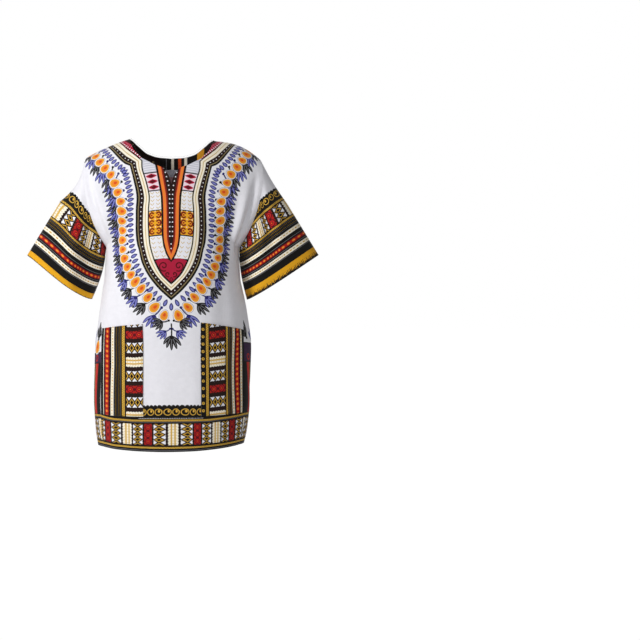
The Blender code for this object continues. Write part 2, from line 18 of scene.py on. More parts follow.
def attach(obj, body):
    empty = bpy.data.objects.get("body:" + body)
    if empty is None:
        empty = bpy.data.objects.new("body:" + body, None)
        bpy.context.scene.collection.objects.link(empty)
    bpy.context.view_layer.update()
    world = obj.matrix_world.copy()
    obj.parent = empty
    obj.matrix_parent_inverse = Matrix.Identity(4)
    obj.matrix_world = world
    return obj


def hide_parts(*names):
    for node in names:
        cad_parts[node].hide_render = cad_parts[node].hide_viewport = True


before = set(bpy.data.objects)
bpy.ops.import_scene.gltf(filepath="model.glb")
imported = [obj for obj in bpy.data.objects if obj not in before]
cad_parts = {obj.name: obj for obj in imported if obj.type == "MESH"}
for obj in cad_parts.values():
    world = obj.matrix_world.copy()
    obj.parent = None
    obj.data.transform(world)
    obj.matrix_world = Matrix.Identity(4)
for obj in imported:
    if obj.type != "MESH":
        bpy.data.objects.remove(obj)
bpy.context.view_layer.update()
print("pieces in the packed shirt:", sorted(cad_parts))

# %% [markdown]
# The inks are read off the cloth as it looks in plain daylight. They are written as ordinary sRGB hex
# codes, and one function turns them into the linear values that a shader needs. Dyed cotton is never
# fully black or fully saturated, so the darkest ink stays a little above zero.

# %% Inks of the print
INKS = {
    "white": "#f0eff5", "mist": "#cfcfda", "stone": "#a3a4b2", "ash": "#6d6d72", "slate": "#45454a",
    "soot": "#1c1917", "black": "#0f0d0b", "brown": "#25130f", "navy": "#2a2a6c", "lilac": "#7d80c6",
    "olive": "#8c7b55", "cream": "#fbf2de", "sand": "#d6bd84", "gold": "#dcae44", "old_gold": "#a8801f",
    "amber": "#f2a92c", "yellow": "#eead1e", "orange": "#ef8a2c", "flame": "#f2753a", "ember": "#e2521c",
    "red": "#c4201c", "brick": "#b01c16", "crimson": "#b21c3c", "wine": "#560b16", "maroon": "#7c1a0c",
    "pink": "#f3dbe5", "plum": "#3a1f42",
}


def linear(code):
    """An sRGB hex colour as linear red, green and blue."""
    values = [int(code[i : i + 2], 16) / 255 for i in (1, 3, 5)]
    return [v / 12.92 if v <= 0.04045 else ((v + 0.055) / 1.055) ** 2.4 for v in values]


INK_NAMES = list(INKS)
INK_COLOURS = np.array([linear(INKS[name]) for name in INK_NAMES])
print(len(INKS), "inks")

# %% [markdown]
# The shirt hangs as if someone stood in it. Its curves come from a few short tables: how the middle of
# the front and of the back falls, where the panels end at the armholes and the side seams, and how deep
# the neckline is cut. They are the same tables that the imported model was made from, in metres. "drop" is
# the distance down the cloth from the shoulder line, and "across" goes from -1 to 1 over a panel.

# %% Tables of the shirt's shape
CLOTH = 0.0012
SEAM_GAP = 0.0003
HEM_DROP = 0.848
HEM_FOLD = 0.016
HEM_EXTRA = 0.0007
ARMPIT_DROP = 0.262
NECK_HALF = 0.107
SHOULDER_HALF = 0.218
SHOULDER_LIFT = {-1: -0.001, 1: 0.010}
LIFT_FADE = 0.07
CENTRE_SHIFT = -0.0035
SHOULDER_SHIFT = 0.005
SHIFT_FADE = 0.15
HEM_SHIFT = -0.004
HEM_SHIFT_FROM = 0.735
ROUNDNESS = 2.3

Centre = namedtuple("Centre", "drop front_y front_z back_y back_z")
CENTRES = [
    Centre(0.000, -0.0003, 0.0175, 0.0003, 0.0175),
    Centre(0.020, -0.0200, 0.0165, 0.0195, 0.0155),
    Centre(0.045, -0.0430, 0.0060, 0.0415, 0.0040),
    Centre(0.075, -0.0650, -0.0140, 0.0620, -0.0180),
    Centre(0.110, -0.0835, -0.0435, 0.0790, -0.0485),
    Centre(0.150, -0.0990, -0.0800, 0.0910, -0.0865),
    Centre(0.200, -0.1140, -0.1275, 0.1010, -0.1355),
    Centre(0.262, -0.1270, -0.1880, 0.1090, -0.1965),
    Centre(0.350, -0.1345, -0.2755, 0.1140, -0.2830),
    Centre(0.480, -0.1330, -0.4050, 0.1120, -0.4090),
    Centre(0.600, -0.1360, -0.5250, 0.1210, -0.5270),
    Centre(0.735, -0.1410, -0.6610, 0.1300, -0.6600),
    Centre(0.810, -0.1400, -0.7370, 0.1300, -0.7320),
    Centre(0.848, -0.1360, -0.7775, 0.1260, -0.7700),
]
Edge = namedtuple("Edge", "drop x front_y back_y z front_wrap back_wrap")
ARMHOLE = [
    Edge(0.000, 0.2180, -0.0003, 0.0003, -0.0430, 55, 55),
    Edge(0.020, 0.2215, -0.0180, 0.0180, -0.0510, 56, 56),
    Edge(0.045, 0.2240, -0.0360, 0.0370, -0.0690, 58, 58),
    Edge(0.075, 0.2235, -0.0500, 0.0520, -0.0970, 61, 61),
    Edge(0.110, 0.2200, -0.0600, 0.0630, -0.1320, 65, 65),
    Edge(0.150, 0.2115, -0.0640, 0.0680, -0.1720, 70, 70),
    Edge(0.200, 0.1955, -0.0560, 0.0600, -0.2190, 77, 77),
    Edge(0.235, 0.1810, -0.0360, 0.0380, -0.2490, 83, 84),
    Edge(0.253, 0.1720, -0.0170, 0.0150, -0.2650, 86, 88),
    Edge(0.262, 0.1680, -0.0030, -0.0030, -0.2720, 88, 92),
]
SIDE = [
    Edge(0.262, 0.1680, -0.0030, -0.0030, -0.2720, 88, 92),
    Edge(0.350, 0.1690, -0.0250, -0.0250, -0.3380, 80, 100),
    Edge(0.480, 0.1760, -0.0460, -0.0460, -0.4380, 72, 108),
    Edge(0.600, 0.1775, -0.0640, -0.0640, -0.5340, 64, 116),
    Edge(0.735, 0.1800, -0.0660, -0.0660, -0.6570, 64, 116),
    Edge(0.810, 0.1750, -0.0640, -0.0640, -0.7320, 64, 116),
    Edge(0.848, 0.1690, -0.0620, -0.0620, -0.7700, 64, 116),
]
Neck = namedtuple("Neck", "x drop")
FRONT_NECK = [
    Neck(0.0000, 0.1905), Neck(0.0058, 0.1700), Neck(0.0147, 0.1550), Neck(0.0200, 0.1475),
    Neck(0.0425, 0.1345), Neck(0.0595, 0.1210), Neck(0.0715, 0.1110), Neck(0.0830, 0.0955),
    Neck(0.0930, 0.0790), Neck(0.1025, 0.0480), Neck(0.1070, 0.0000),
]
BACK_NECK = [
    Neck(0.0000, 0.0960), Neck(0.0300, 0.0920), Neck(0.0600, 0.0780),
    Neck(0.0830, 0.0520), Neck(0.0985, 0.0250), Neck(0.1070, 0.0000),
]
Fold = namedtuple("Fold", "across_a drop_a across_b drop_b width depth")
FOLDS = {
    "front": [
        Fold(-0.93, 0.060, -0.74, 0.285, 0.011, -0.0075),
        Fold(-0.80, 0.080, -0.66, 0.290, 0.016, 0.0050),
        Fold(0.90, 0.070, 0.78, 0.300, 0.010, -0.0080),
        Fold(0.76, 0.100, 0.70, 0.330, 0.015, 0.0055),
        Fold(0.66, 0.150, 0.62, 0.360, 0.013, -0.0045),
        Fold(-0.58, 0.330, -0.62, 0.560, 0.026, -0.0030),
        Fold(0.52, 0.350, 0.60, 0.600, 0.028, -0.0035),
        Fold(0.80, 0.560, 0.74, 0.760, 0.028, -0.0045),
        Fold(-0.20, 0.560, -0.24, 0.860, 0.030, -0.0030),
        Fold(0.26, 0.600, 0.22, 0.870, 0.030, 0.0030),
        Fold(-0.66, 0.640, -0.72, 0.870, 0.024, 0.0035),
    ],
    "back": [
        Fold(-0.70, 0.070, -0.52, 0.320, 0.012, -0.0075),
        Fold(-0.58, 0.090, -0.42, 0.360, 0.018, 0.0050),
        Fold(0.72, 0.060, 0.56, 0.300, 0.012, -0.0080),
        Fold(0.60, 0.100, 0.46, 0.380, 0.018, 0.0055),
        Fold(-0.12, 0.380, -0.16, 0.870, 0.030, 0.0065),
        Fold(-0.30, 0.420, -0.36, 0.870, 0.024, -0.0070),
        Fold(0.16, 0.400, 0.20, 0.870, 0.028, -0.0075),
        Fold(0.40, 0.440, 0.44, 0.870, 0.028, 0.0060),
        Fold(-0.60, 0.500, -0.62, 0.870, 0.026, 0.0050),
        Fold(0.66, 0.520, 0.64, 0.870, 0.024, -0.0045),
        Fold(0.86, 0.375, 0.77, 0.700, 0.024, 0.0080),
    ],
}
Sleeve = namedtuple("Sleeve", "name side top_x top_z under_x under_z depth sag dip hug")
SLEEVES = [
    Sleeve("sleeve_left", -1, 0.364, -0.292, 0.203, -0.400, 0.058, 0.010, 0.013, 0.006),
    Sleeve("sleeve_right", 1, 0.375, -0.288, 0.190, -0.403, 0.058, 0.003, 0.003, 0.0045),
]
SleeveFold = namedtuple("SleeveFold", "angle_a angle_b start end width depth")
SLEEVE_FOLDS = {
    "sleeve_left": [
        SleeveFold(86, 112, 0.05, 1.10, 17, 0.0085),
        SleeveFold(120, 140, 0.02, 1.05, 15, -0.0075),
        SleeveFold(52, 66, 0.10, 0.75, 15, -0.0040),
        SleeveFold(250, 236, 0.05, 1.05, 18, 0.0070),
        SleeveFold(222, 212, 0.05, 1.00, 14, -0.0060),
    ],
    "sleeve_right": [
        SleeveFold(62, 78, 0.03, 0.62, 11, 0.0060),
        SleeveFold(84, 100, 0.03, 0.72, 12, -0.0075),
        SleeveFold(112, 126, 0.02, 1.05, 17, 0.0060),
        SleeveFold(240, 228, 0.05, 1.05, 18, 0.0070),
        SleeveFold(276, 282, 0.05, 0.80, 15, -0.0055),
    ],
}
SLEEVE_BULGE = 0.012
Pocket = namedtuple("Pocket", "name side inner outer mouth_inner mouth_outer foot_inner foot_outer")
POCKETS = [
    Pocket("pocket_left", -1, 0.277, 0.965, 0.536, 0.529, 0.7645, 0.7660),
    Pocket("pocket_right", 1, 0.280, 0.985, 0.532, 0.534, 0.7645, 0.7660),
]
POCKET_CLOTH = 0.0010
POCKET_GAP = 0.0008
POCKET_GAPE = 0.0025
FACING_WIDTH = 0.040
FACING_CLOTH = 0.0008
FACING_GAP = 0.0004
LABEL_HALF = 0.019
LABEL_FROM = 0.030
LABEL_TO = 0.049
LABEL_CLOTH = 0.0006

# %% [markdown]
# A few functions turn the tables into points. A section of the body is a rounded oval, as cloth takes
# round a chest, and folds are soft ridges and troughs laid along lines.

# %% Curves of the body


def smooth(rows, column, at):
    """The table's column at these drops, on a cubic curve that doesn't overshoot between rows."""
    knots = np.array([row[0] for row in rows])
    values = np.array([getattr(row, column) for row in rows])
    at = np.clip(np.asarray(at, float), knots[0], knots[-1])
    step = np.diff(knots)
    rise = np.diff(values) / step
    slope = np.zeros(len(knots))
    both = rise[:-1] * rise[1:] > 0
    slope[1:-1][both] = 2 * rise[:-1][both] * rise[1:][both] / (rise[:-1] + rise[1:])[both]
    slope[0] = rise[0]
    slope[-1] = rise[-1]
    low = np.clip(np.searchsorted(knots, at) - 1, 0, len(step) - 1)
    t = (at - knots[low]) / step[low]
    start = values[low] * (1 + 2 * t) * (1 - t) ** 2 + slope[low] * step[low] * t * (1 - t) ** 2
    end = values[low + 1] * t**2 * (3 - 2 * t) + slope[low + 1] * step[low] * t**2 * (t - 1)
    return start + end


def round_sine(angle):
    return np.sign(np.sin(angle)) * np.abs(np.sin(angle)) ** (2 / ROUNDNESS)


def round_cosine(angle):
    return np.sign(np.cos(angle)) * np.abs(np.cos(angle)) ** (2 / ROUNDNESS)


def across_at(x):
    """The place across the shoulder row, from 0 to 1, that lies this far from the middle."""
    wrap = math.radians(ARMHOLE[0].front_wrap)
    turn = np.arcsin((np.asarray(x) / SHOULDER_HALF * round_sine(wrap)) ** (ROUNDNESS / 2))
    return turn / wrap


def edge(column, drop):
    return np.where(drop < ARMPIT_DROP, smooth(ARMHOLE, column, drop), smooth(SIDE, column, drop))


def sideways_shift(share, drop):
    """How far a place lies to the right, as the worn shirt hangs a little askew."""
    at_edge = SHOULDER_SHIFT * np.exp(-drop / SHIFT_FADE)
    near_hem = np.clip((drop - HEM_SHIFT_FROM) / (HEM_DROP - HEM_SHIFT_FROM), 0, 1)
    at_edge = at_edge + HEM_SHIFT * near_hem**2
    return CENTRE_SHIFT * (1 - share**2) + at_edge * share**2


def bare_panel(panel, across, drop):
    """Points of the front or the back, without folds."""
    share = np.abs(across)
    wrap = np.radians(edge(panel + "_wrap", drop))
    middle_y = smooth(CENTRES, panel + "_y", drop)
    middle_z = smooth(CENTRES, panel + "_z", drop)
    out = round_sine(share * wrap) / round_sine(wrap)
    back = (1 - round_cosine(share * wrap)) / (1 - round_cosine(wrap))
    half_turn = np.minimum(wrap, math.radians(88))
    sink = (round_sine(share * half_turn) / round_sine(half_turn)) ** 2
    lift = np.where(across < 0, SHOULDER_LIFT[-1], SHOULDER_LIFT[1])
    on_shoulder = np.sin(math.pi * np.clip((share - 0.4) / 0.6, 0, 1)) * np.exp(-drop / LIFT_FADE)
    return np.stack(
        [
            np.sign(across) * edge("x", drop) * out + sideways_shift(share, drop),
            middle_y + (edge(panel + "_y", drop) - middle_y) * back,
            middle_z + (edge("z", drop) - middle_z) * sink + lift * on_shoulder,
        ],
        axis=-1,
    )


def unit(vectors):
    return vectors / np.maximum(np.linalg.norm(vectors, axis=-1, keepdims=True), 1e-12)


def panel_normal(panel, across, drop):
    """Outward direction of a panel, from small steps along it."""
    step = 0.004
    reach = 0.999
    left = bare_panel(panel, np.clip(across - step, -reach, reach), drop)
    right = bare_panel(panel, np.clip(across + step, -reach, reach), drop)
    above = bare_panel(panel, across, np.clip(drop - step, 0.0005, HEM_DROP))
    below = bare_panel(panel, across, np.clip(drop + step, 0.0005, HEM_DROP))
    turn = 1 if panel == "front" else -1
    return unit(turn * np.cross(right - left, above - below))


def fold_height(folds, across, drop):
    """How far the folds lift the cloth here. They fade out at a panel's edges."""
    height = np.zeros(np.broadcast(across, drop).shape)
    for fold in folds:
        start = np.array([fold.across_a * SHOULDER_HALF, fold.drop_a])
        run = np.array([fold.across_b * SHOULDER_HALF, fold.drop_b]) - start
        length = np.linalg.norm(run)
        run = run / length
        dx = across * SHOULDER_HALF - start[0]
        dz = drop - start[1]
        along = (dx * run[0] + dz * run[1]) / length
        aside = dx * run[1] - dz * run[0]
        taper = np.sin(math.pi * np.clip(along, 0, 1)) ** 0.8
        height = height + fold.depth * np.exp(-((aside / fold.width) ** 2)) * taper
    return height * (1 - np.abs(across) ** 14)


def neck_drop(panel, x):
    return smooth(FRONT_NECK if panel == "front" else BACK_NECK, "drop", np.abs(x))


# %% [markdown]
# A sleeve starts on the armhole's loop and ends in an oval cuff. In between, each ring is a mix of the
# two, with a little bulge, and the folds run down it from the shoulder.

# %% Curves of the sleeves


def armhole_loop(side, down):
    """The armhole seam's points: down the front from the shoulder to the armpit and up the back."""
    front = bare_panel("front", np.full(len(down), float(side)), down)
    back = bare_panel("back", np.full(len(down), float(side)), down)
    front[-1] = back[-1] = (front[-1] + back[-1]) / 2
    front[0] = (front[0] + back[0]) / 2
    return np.vstack([front, back[-2:0:-1]])


def ring_normals(points, centre):
    right = np.roll(points, -1, axis=1) - np.roll(points, 1, axis=1)
    down = np.gradient(points, axis=0)
    normals = unit(np.cross(right, down))
    away = np.sum(normals * (points - np.asarray(centre)), axis=-1).mean()
    return normals if away > 0 else -normals


def sleeve_rings(sleeve, down, shares):
    """The rings of a sleeve and their directions, from the armhole to the cuff."""
    loop = armhole_loop(sleeve.side, down)
    lengths = np.linalg.norm(np.roll(loop, -1, axis=0) - loop, axis=1)
    turn = 2 * math.pi * np.concatenate([[0], np.cumsum(lengths)[:-1]]) / lengths.sum()
    half = len(loop) // 2
    turn[: half + 1] *= math.pi / turn[half]
    turn[half + 1 :] = math.pi + (turn[half + 1 :] - turn[half]) * math.pi / (2 * math.pi - turn[half])
    top = np.array([sleeve.side * sleeve.top_x, 0, sleeve.top_z])
    foot = np.array([sleeve.side * sleeve.under_x, 0, sleeve.under_z])
    middle = (top + foot) / 2
    reach = (top - foot) / 2
    outward = unit(np.array([-reach[2] * sleeve.side, 0, reach[0] * sleeve.side]))
    outward = -outward if outward[2] > 0 else outward
    in_front = np.array([0, -sleeve.depth, 0])
    cuff = middle + np.cos(turn)[:, None] * reach + np.sin(turn)[:, None] * in_front
    cuff = cuff + outward * (sleeve.sag * np.maximum(np.sin(turn - 0.5), 0) ** 2)[:, None]
    rings = []
    for share in shares:
        ring = loop * (1 - share) + cuff * share
        swell = math.sin(math.pi * share) * SLEEVE_BULGE
        ring = ring + np.sin(turn)[:, None] * np.array([0, -1.0, 0]) * swell * 0.6
        dip = math.sin(math.pi * min(share / 0.45, 1.0)) * sleeve.dip
        ring = ring - unit(reach) * dip * np.maximum(np.cos(turn), 0)[:, None] ** 2
        under = np.maximum(-np.cos(turn), 0)[:, None] * math.sin(math.pi * share)
        rings.append(ring + np.array([-sleeve.side * sleeve.hug, 0, 0]) * under)
    rings = np.array(rings)
    outwards = ring_normals(rings, (loop.mean(axis=0) + middle) / 2)
    degrees = np.degrees(turn)
    for row, share in enumerate(shares):
        height = np.zeros(len(loop))
        for fold in SLEEVE_FOLDS[sleeve.name]:
            along = np.clip((share - fold.start) / (fold.end - fold.start), 0, 1)
            angle = fold.angle_a + (fold.angle_b - fold.angle_a) * share
            taper = math.sin(math.pi * along) ** 0.8
            height += fold.depth * taper * np.exp(-(((degrees - angle) / fold.width) ** 2))
        rings[row] += outwards[row] * height[:, None]
    return rings, ring_normals(rings, rings.reshape(-1, 3).mean(axis=0))


# %% [markdown]
# A print is drawn on flat cloth, so each piece needs a chart: a fine grid that knows, for every place in
# flat millimetres, where that bit of cloth is on the shirt and which way it faces. Distances are measured
# along the cloth, so a flower on the shoulder keeps its size. Newton's method reads the chart backwards.

# %% Charts between the flat cloth and the shirt
MM = 1000
FLAT_LENGTH = 850
NECK_POINT = 107
SHOULDER_POINT = 230
PANEL_COLUMNS = 241
PANEL_ROWS = 425
SLEEVE_STATIONS = 61
SLEEVE_RINGS = 121
SEARCH_ROUNDS = 40
LONGEST_STEP = 30


class Chart:
    """A grid over one piece of cloth: its flat places in mm, its points in metres and its directions."""

    def __init__(self, flat, points, out):
        self.flat = flat
        self.points = points
        self.out = out
        shade = unit(np.cross(np.gradient(points, axis=1), np.gradient(points, axis=0)))
        facing = np.sign(np.sum(shade * out, axis=-1).mean())
        self.shade = shade * facing

    def read(self, table, r, c):
        i = np.clip(r.astype(int), 0, table.shape[0] - 2)
        j = np.clip(c.astype(int), 0, table.shape[1] - 2)
        s = (r - i)[:, None]
        t = (c - j)[:, None]
        upper = table[i, j] * (1 - t) + table[i, j + 1] * t
        lower = table[i + 1, j] * (1 - t) + table[i + 1, j + 1] * t
        return upper * (1 - s) + lower * s

    def find(self, places):
        """Rows and columns of the grid, with fractions, for places in flat millimetres."""
        rows, columns = self.flat.shape[:2]
        right = np.gradient(self.flat, axis=1)
        down = np.gradient(self.flat, axis=0)
        r = np.full(len(places), rows / 2)
        c = np.full(len(places), columns / 2)
        for _ in range(SEARCH_ROUNDS):
            miss = places - self.read(self.flat, r, c)
            a = self.read(right, r, c)
            b = self.read(down, r, c)
            spread = a[:, 0] * b[:, 1] - a[:, 1] * b[:, 0]
            step_c = (miss[:, 0] * b[:, 1] - miss[:, 1] * b[:, 0]) / spread
            step_r = (a[:, 0] * miss[:, 1] - a[:, 1] * miss[:, 0]) / spread
            c = np.clip(c + np.clip(step_c, -LONGEST_STEP, LONGEST_STEP), 0, columns - 1)
            r = np.clip(r + np.clip(step_r, -LONGEST_STEP, LONGEST_STEP), 0, rows - 1)
        return r, c


def panel_chart(panel):
    """Across is measured from the middle, and down from the shoulder line to the hem."""
    across = np.linspace(-1, 1, PANEL_COLUMNS)[None, :] + np.zeros((PANEL_ROWS, 1))
    drop = np.linspace(0, HEM_DROP, PANEL_ROWS)[:, None] + np.zeros((1, PANEL_COLUMNS))
    bare = bare_panel(panel, across, drop)
    out = panel_normal(panel, across, drop)
    points = bare + out * fold_height(FOLDS[panel], across, drop)[..., None]
    steps = np.linalg.norm(np.diff(bare, axis=1), axis=2) * MM
    p = np.concatenate([np.zeros((PANEL_ROWS, 1)), np.cumsum(steps, axis=1)], axis=1)
    p = p - p[:, PANEL_COLUMNS // 2][:, None]
    steps = np.linalg.norm(np.diff(bare, axis=0), axis=2) * MM
    down = np.concatenate([np.zeros((1, PANEL_COLUMNS)), np.cumsum(steps, axis=0)], axis=0)
    slope = np.clip((np.abs(p[0]) - NECK_POINT) / (SHOULDER_POINT - NECK_POINT), 0, 1)
    start = slope * (FLAT_LENGTH - down[-1].min())
    q = start + (FLAT_LENGTH - start) * down / down[-1]
    return Chart(np.stack([p, q], axis=-1), points, out)


def sleeve_chart(sleeve):
    """Across is measured round the cuff from the top line, and up is measured from the cuff."""
    down = ARMPIT_DROP * (0.5 - 0.5 * np.cos(np.linspace(0, math.pi, SLEEVE_STATIONS)))
    shares = np.linspace(0, 1, SLEEVE_RINGS)
    rings, out = sleeve_rings(sleeve, down, shares)
    half = rings.shape[1] // 2
    order = np.concatenate([np.arange(half, rings.shape[1]), np.arange(0, half + 1)])
    rings = rings[:, order]
    out = out[:, order]
    steps = np.linalg.norm(np.diff(rings[-1], axis=0), axis=1) * MM
    u = np.concatenate([[0], np.cumsum(steps)])
    u = u - u[half]
    steps = np.linalg.norm(np.diff(rings, axis=0), axis=2) * MM
    v = np.concatenate([np.zeros((1, len(u))), np.cumsum(steps, axis=0)], axis=0)
    v = v[-1] - v
    return Chart(np.stack([u[None, :] + 0 * v, v], axis=-1), rings, out)


def flat_places(chart, across, drop):
    """Flat millimetres of places across a panel and down it."""
    across, drop = np.broadcast_arrays(np.asarray(across, float), np.asarray(drop, float))
    r = drop / HEM_DROP * (PANEL_ROWS - 1)
    c = (across + 1) / 2 * (PANEL_COLUMNS - 1)
    return chart.read(chart.flat, r, c)


CHARTS = {panel: panel_chart(panel) for panel in ("front", "back")}
for sleeve in SLEEVES:
    CHARTS[sleeve.name] = sleeve_chart(sleeve)
for name, chart in CHARTS.items():
    print(name, "flat size in mm:", np.round(np.ptp(chart.flat.reshape(-1, 2), axis=0)))

# %% [markdown]
# A sketch collects the printed shapes in the order in which the inks lie on each other, later ones on
# top. Every shape is an outline in flat millimetres with its long sides divided, so that it can bend with
# the cloth. A stroke is made of short four-sided stretches that share their ends.

# %% Drawing tools
SPAN = 7.0


def divided(points, closed=True):
    """The outline with no side longer than SPAN."""
    ends = np.roll(points, -1, axis=0) if closed else points[1:]
    made = []
    for a, b in zip(points, ends):
        parts = max(1, math.ceil(np.linalg.norm(b - a) / SPAN))
        made.append(a + (b - a) * (np.arange(parts) / parts)[:, None])
    if not closed:
        made.append(points[-1:])
    return np.vstack(made)


def area_of(points):
    x, y = points[:, 0], points[:, 1]
    return 0.5 * float(np.sum(x * np.roll(y, -1) - np.roll(x, -1) * y))


def turns_left(a, b, c):
    return (b[0] - a[0]) * (c[1] - a[1]) - (b[1] - a[1]) * (c[0] - a[0]) > 0


def convex(points):
    """The four or fewer outer corners of a short stretch, in order, so that it never crosses itself."""
    ordered = sorted(map(tuple, points))
    outline = []
    for run in (ordered, ordered[::-1]):
        half = []
        for p in run:
            while len(half) > 1 and not turns_left(half[-2], half[-1], p):
                half.pop()
            half.append(p)
        outline += half[:-1]
    return outline


def spline(points, corners=(), parts=8):
    """A smooth curve through the points, sharp at the corners that are named by their number."""
    points = np.asarray(points, float)
    made = []
    for k in range(len(points) - 1):
        a, b = points[k], points[k + 1]
        before = points[k - 1] if k > 0 and k not in corners else a
        after = points[k + 2] if k + 2 < len(points) and k + 1 not in corners else b
        t = (np.arange(parts) / parts)[:, None]
        start = (b - before) / 2
        end = (after - a) / 2
        made.append(
            a * (2 * t**3 - 3 * t**2 + 1) + b * (3 * t**2 - 2 * t**3)
            + start * (t**3 - 2 * t**2 + t) + end * (t**3 - t**2)
        )
    made.append(points[-1:])
    return np.vstack(made)


def directions(points):
    return unit(np.gradient(points, axis=0))


def sideways(points, distance):
    """The curve moved to its left by this distance. It may be one number for each point."""
    run = directions(points)
    return points + np.stack([run[:, 1], -run[:, 0]], axis=1) * np.reshape(distance, (-1, 1))


def lens_shape(t, half):
    """An outline that is symmetric about its long axis, from half widths at the places t."""
    return np.vstack([np.stack([t, half], axis=1), np.stack([t, -half], axis=1)[-2:0:-1]])


def spaced(points, step, start=0.0, knots=None):
    """Places and directions along a curve. The step is one length, or one for each knot along it."""
    lengths = np.concatenate([[0], np.cumsum(np.linalg.norm(np.diff(points, axis=0), axis=1))])
    at = [start]
    while at[-1] < lengths[-1]:
        at.append(at[-1] + (step if knots is None else float(np.interp(at[-1], knots, step))))
    at = np.array(at[:-1])
    run = directions(points)
    places = np.stack([np.interp(at, lengths, points[:, k]) for k in (0, 1)], axis=1)
    turns = np.stack([np.interp(at, lengths, run[:, k]) for k in (0, 1)], axis=1)
    return places, unit(turns)


class Sketch:
    """Printed shapes, each an ink and an outline in the flat millimetres of one piece."""

    def __init__(self, place=None):
        self.shapes = []
        self.place = place or (lambda points: points)

    def fill(self, ink, points):
        points = self.place(np.asarray(points, float))
        turned = points if area_of(points) > 0 else points[::-1]
        self.shapes.append((INK_NAMES.index(ink), divided(turned)))

    def box(self, ink, x0, x1, y0, y1):
        self.fill(ink, [(x0, y0), (x1, y0), (x1, y1), (x0, y1)])

    def disc(self, ink, x, y, rx, ry=None, sides=12):
        turn = np.linspace(0, 2 * math.pi, sides, endpoint=False)
        self.fill(ink, np.stack([x + rx * np.cos(turn), y + (ry or rx) * np.sin(turn)], axis=1))

    def ring(self, ink, inner_ink, x, y, radius, width, sides=14):
        self.disc(ink, x, y, radius, sides=sides)
        self.disc(inner_ink, x, y, radius - width, sides=sides)

    def stroke(self, ink, points, width):
        points = np.asarray(points, float)
        left = sideways(points, width / 2)
        right = sideways(points, -np.asarray(width) / 2)
        for k in range(len(points) - 1):
            self.fill(ink, convex([left[k], left[k + 1], right[k + 1], right[k]]))


def turned_to(points, x, y, angle):
    """A motif drawn along x, turned to this angle and moved to its place."""
    c, s = math.cos(angle), math.sin(angle)
    return points @ np.array([[c, s], [-s, c]]) + np.array([x, y])


# %% [markdown]
# The yoke print is a shield round the neck: a black band with an olive line and white dots, a cream band
# with a gold line, and coloured blocks on both sides of a spear below the neck slit. It is a common
# ornament on this kind of shirt. Its outlines are three smooth curves, read at a few stations from the
# shoulder to the tip, and everything else lies between them.

# %% The shield round the neck
PRINT_MIDDLE = -0.5
Station = namedtuple("Station", "rim_q rim cream_q cream block_q block")
STATIONS = [
    Station(-10, 180, -10, 166, -10, 150),
    Station(28, 169, 24, 154, 14, 138),
    Station(61, 158, 55, 144, 42, 130),
    Station(103, 132, 90, 117, 83, 104),
    Station(126, 104, 120, 88, 120, 74),
    Station(138, 101, 141, 85, 144, 73),
    Station(175, 93, 178, 75, 180, 63),
    Station(212, 87, 216, 67, 218, 55.5),
    Station(250, 90, 250, 70, 250, 57.5),
    Station(290, 91.5, 286, 71, 285, 58),
    Station(326, 87.5, 325, 68.5, 325, 55.5),
    Station(347, 81.5, 348, 64.5, 349, 51.5),
    Station(380, 73, 382, 54.5, 383, 41),
    Station(415, 56, 415, 36.5, 413, 26),
    Station(450, 30, 440, 15, 430, 11),
    Station(478.7, 0, 455, 0, 440, 0),
]
KINK = 4
Half = namedtuple("Half", "q half")
SPEAR = [
    Half(110, 46), Half(135, 38), Half(162, 33.2), Half(198, 27.3), Half(222, 23.7), Half(257, 22.3),
    Half(319, 21.5), Half(345, 18), Half(366, 11), Half(386, 0),
]
SLIT_DOTS = [
    Half(148, 17.5), Half(159, 14.3), Half(171, 11.2), Half(184, 8), Half(196, 5.6), Half(209, 4.2),
    Half(221, 3.4), Half(330, 3.2),
]


def shield_curve(column):
    places = [(-getattr(row, column), getattr(row, column + "_q")) for row in STATIONS]
    return spline(places, corners=(KINK,))


RIM, CREAM, BLOCK = (shield_curve(column) for column in ("rim", "cream", "block"))


def mirrored(points):
    return np.asarray(points) * np.array([-1, 1])


def shield(sketch, ink, curve):
    """Fills everything inside a curve and its mirror image."""
    sketch.fill(ink, np.vstack([curve, mirrored(curve)[-2::-1]]))


def both_strokes(sketch, ink, curve, width):
    sketch.stroke(ink, curve, width)
    sketch.stroke(ink, mirrored(curve), width)


def both_fills(sketch, ink, points):
    sketch.fill(ink, points)
    sketch.fill(ink, mirrored(points))


def half_at(rows, q):
    return np.interp(q, [row[0] for row in rows], [row[1] for row in rows])


def block_half(q):
    return np.interp(q, BLOCK[:, 1], -BLOCK[:, 0])


def spear_outline(inset):
    """The spear's left side, moved in by this much and ending in a sharp tip."""
    curve = spline([(-row.half, row.q) for row in SPEAR])
    curve[:, 0] = np.minimum(curve[:, 0] + inset, 0)
    tip = np.argmax(curve[:, 0] >= -0.01)
    return curve[: tip + 1]


Spiral = namedtuple("Spiral", "x y radius turns")
SPIRALS = [Spiral(18.5, 394.5, 13, 1.35), Spiral(8, 414.5, 7, 1.0)]
SPIRAL_WIDTH = 3.2
DROP = [(0, 421), (5, 427), (0, 434), (-5, 427)]
DROP_LIGHT = [(0, 424), (2.6, 427.2), (0, 431), (-2.6, 427.2)]


def draw_spirals(sketch):
    for spiral in SPIRALS:
        t = np.linspace(0, 1, 24)
        turn = math.pi * (0.35 + 2 * spiral.turns * t)
        reach = spiral.radius * (1 - 0.85 * t)
        curve = np.stack([spiral.x - reach * np.cos(turn), spiral.y + reach * np.sin(turn)], axis=1)
        both_strokes(sketch, "wine", curve, SPIRAL_WIDTH)
    sketch.fill("wine", DROP)
    sketch.fill("crimson", DROP_LIGHT)


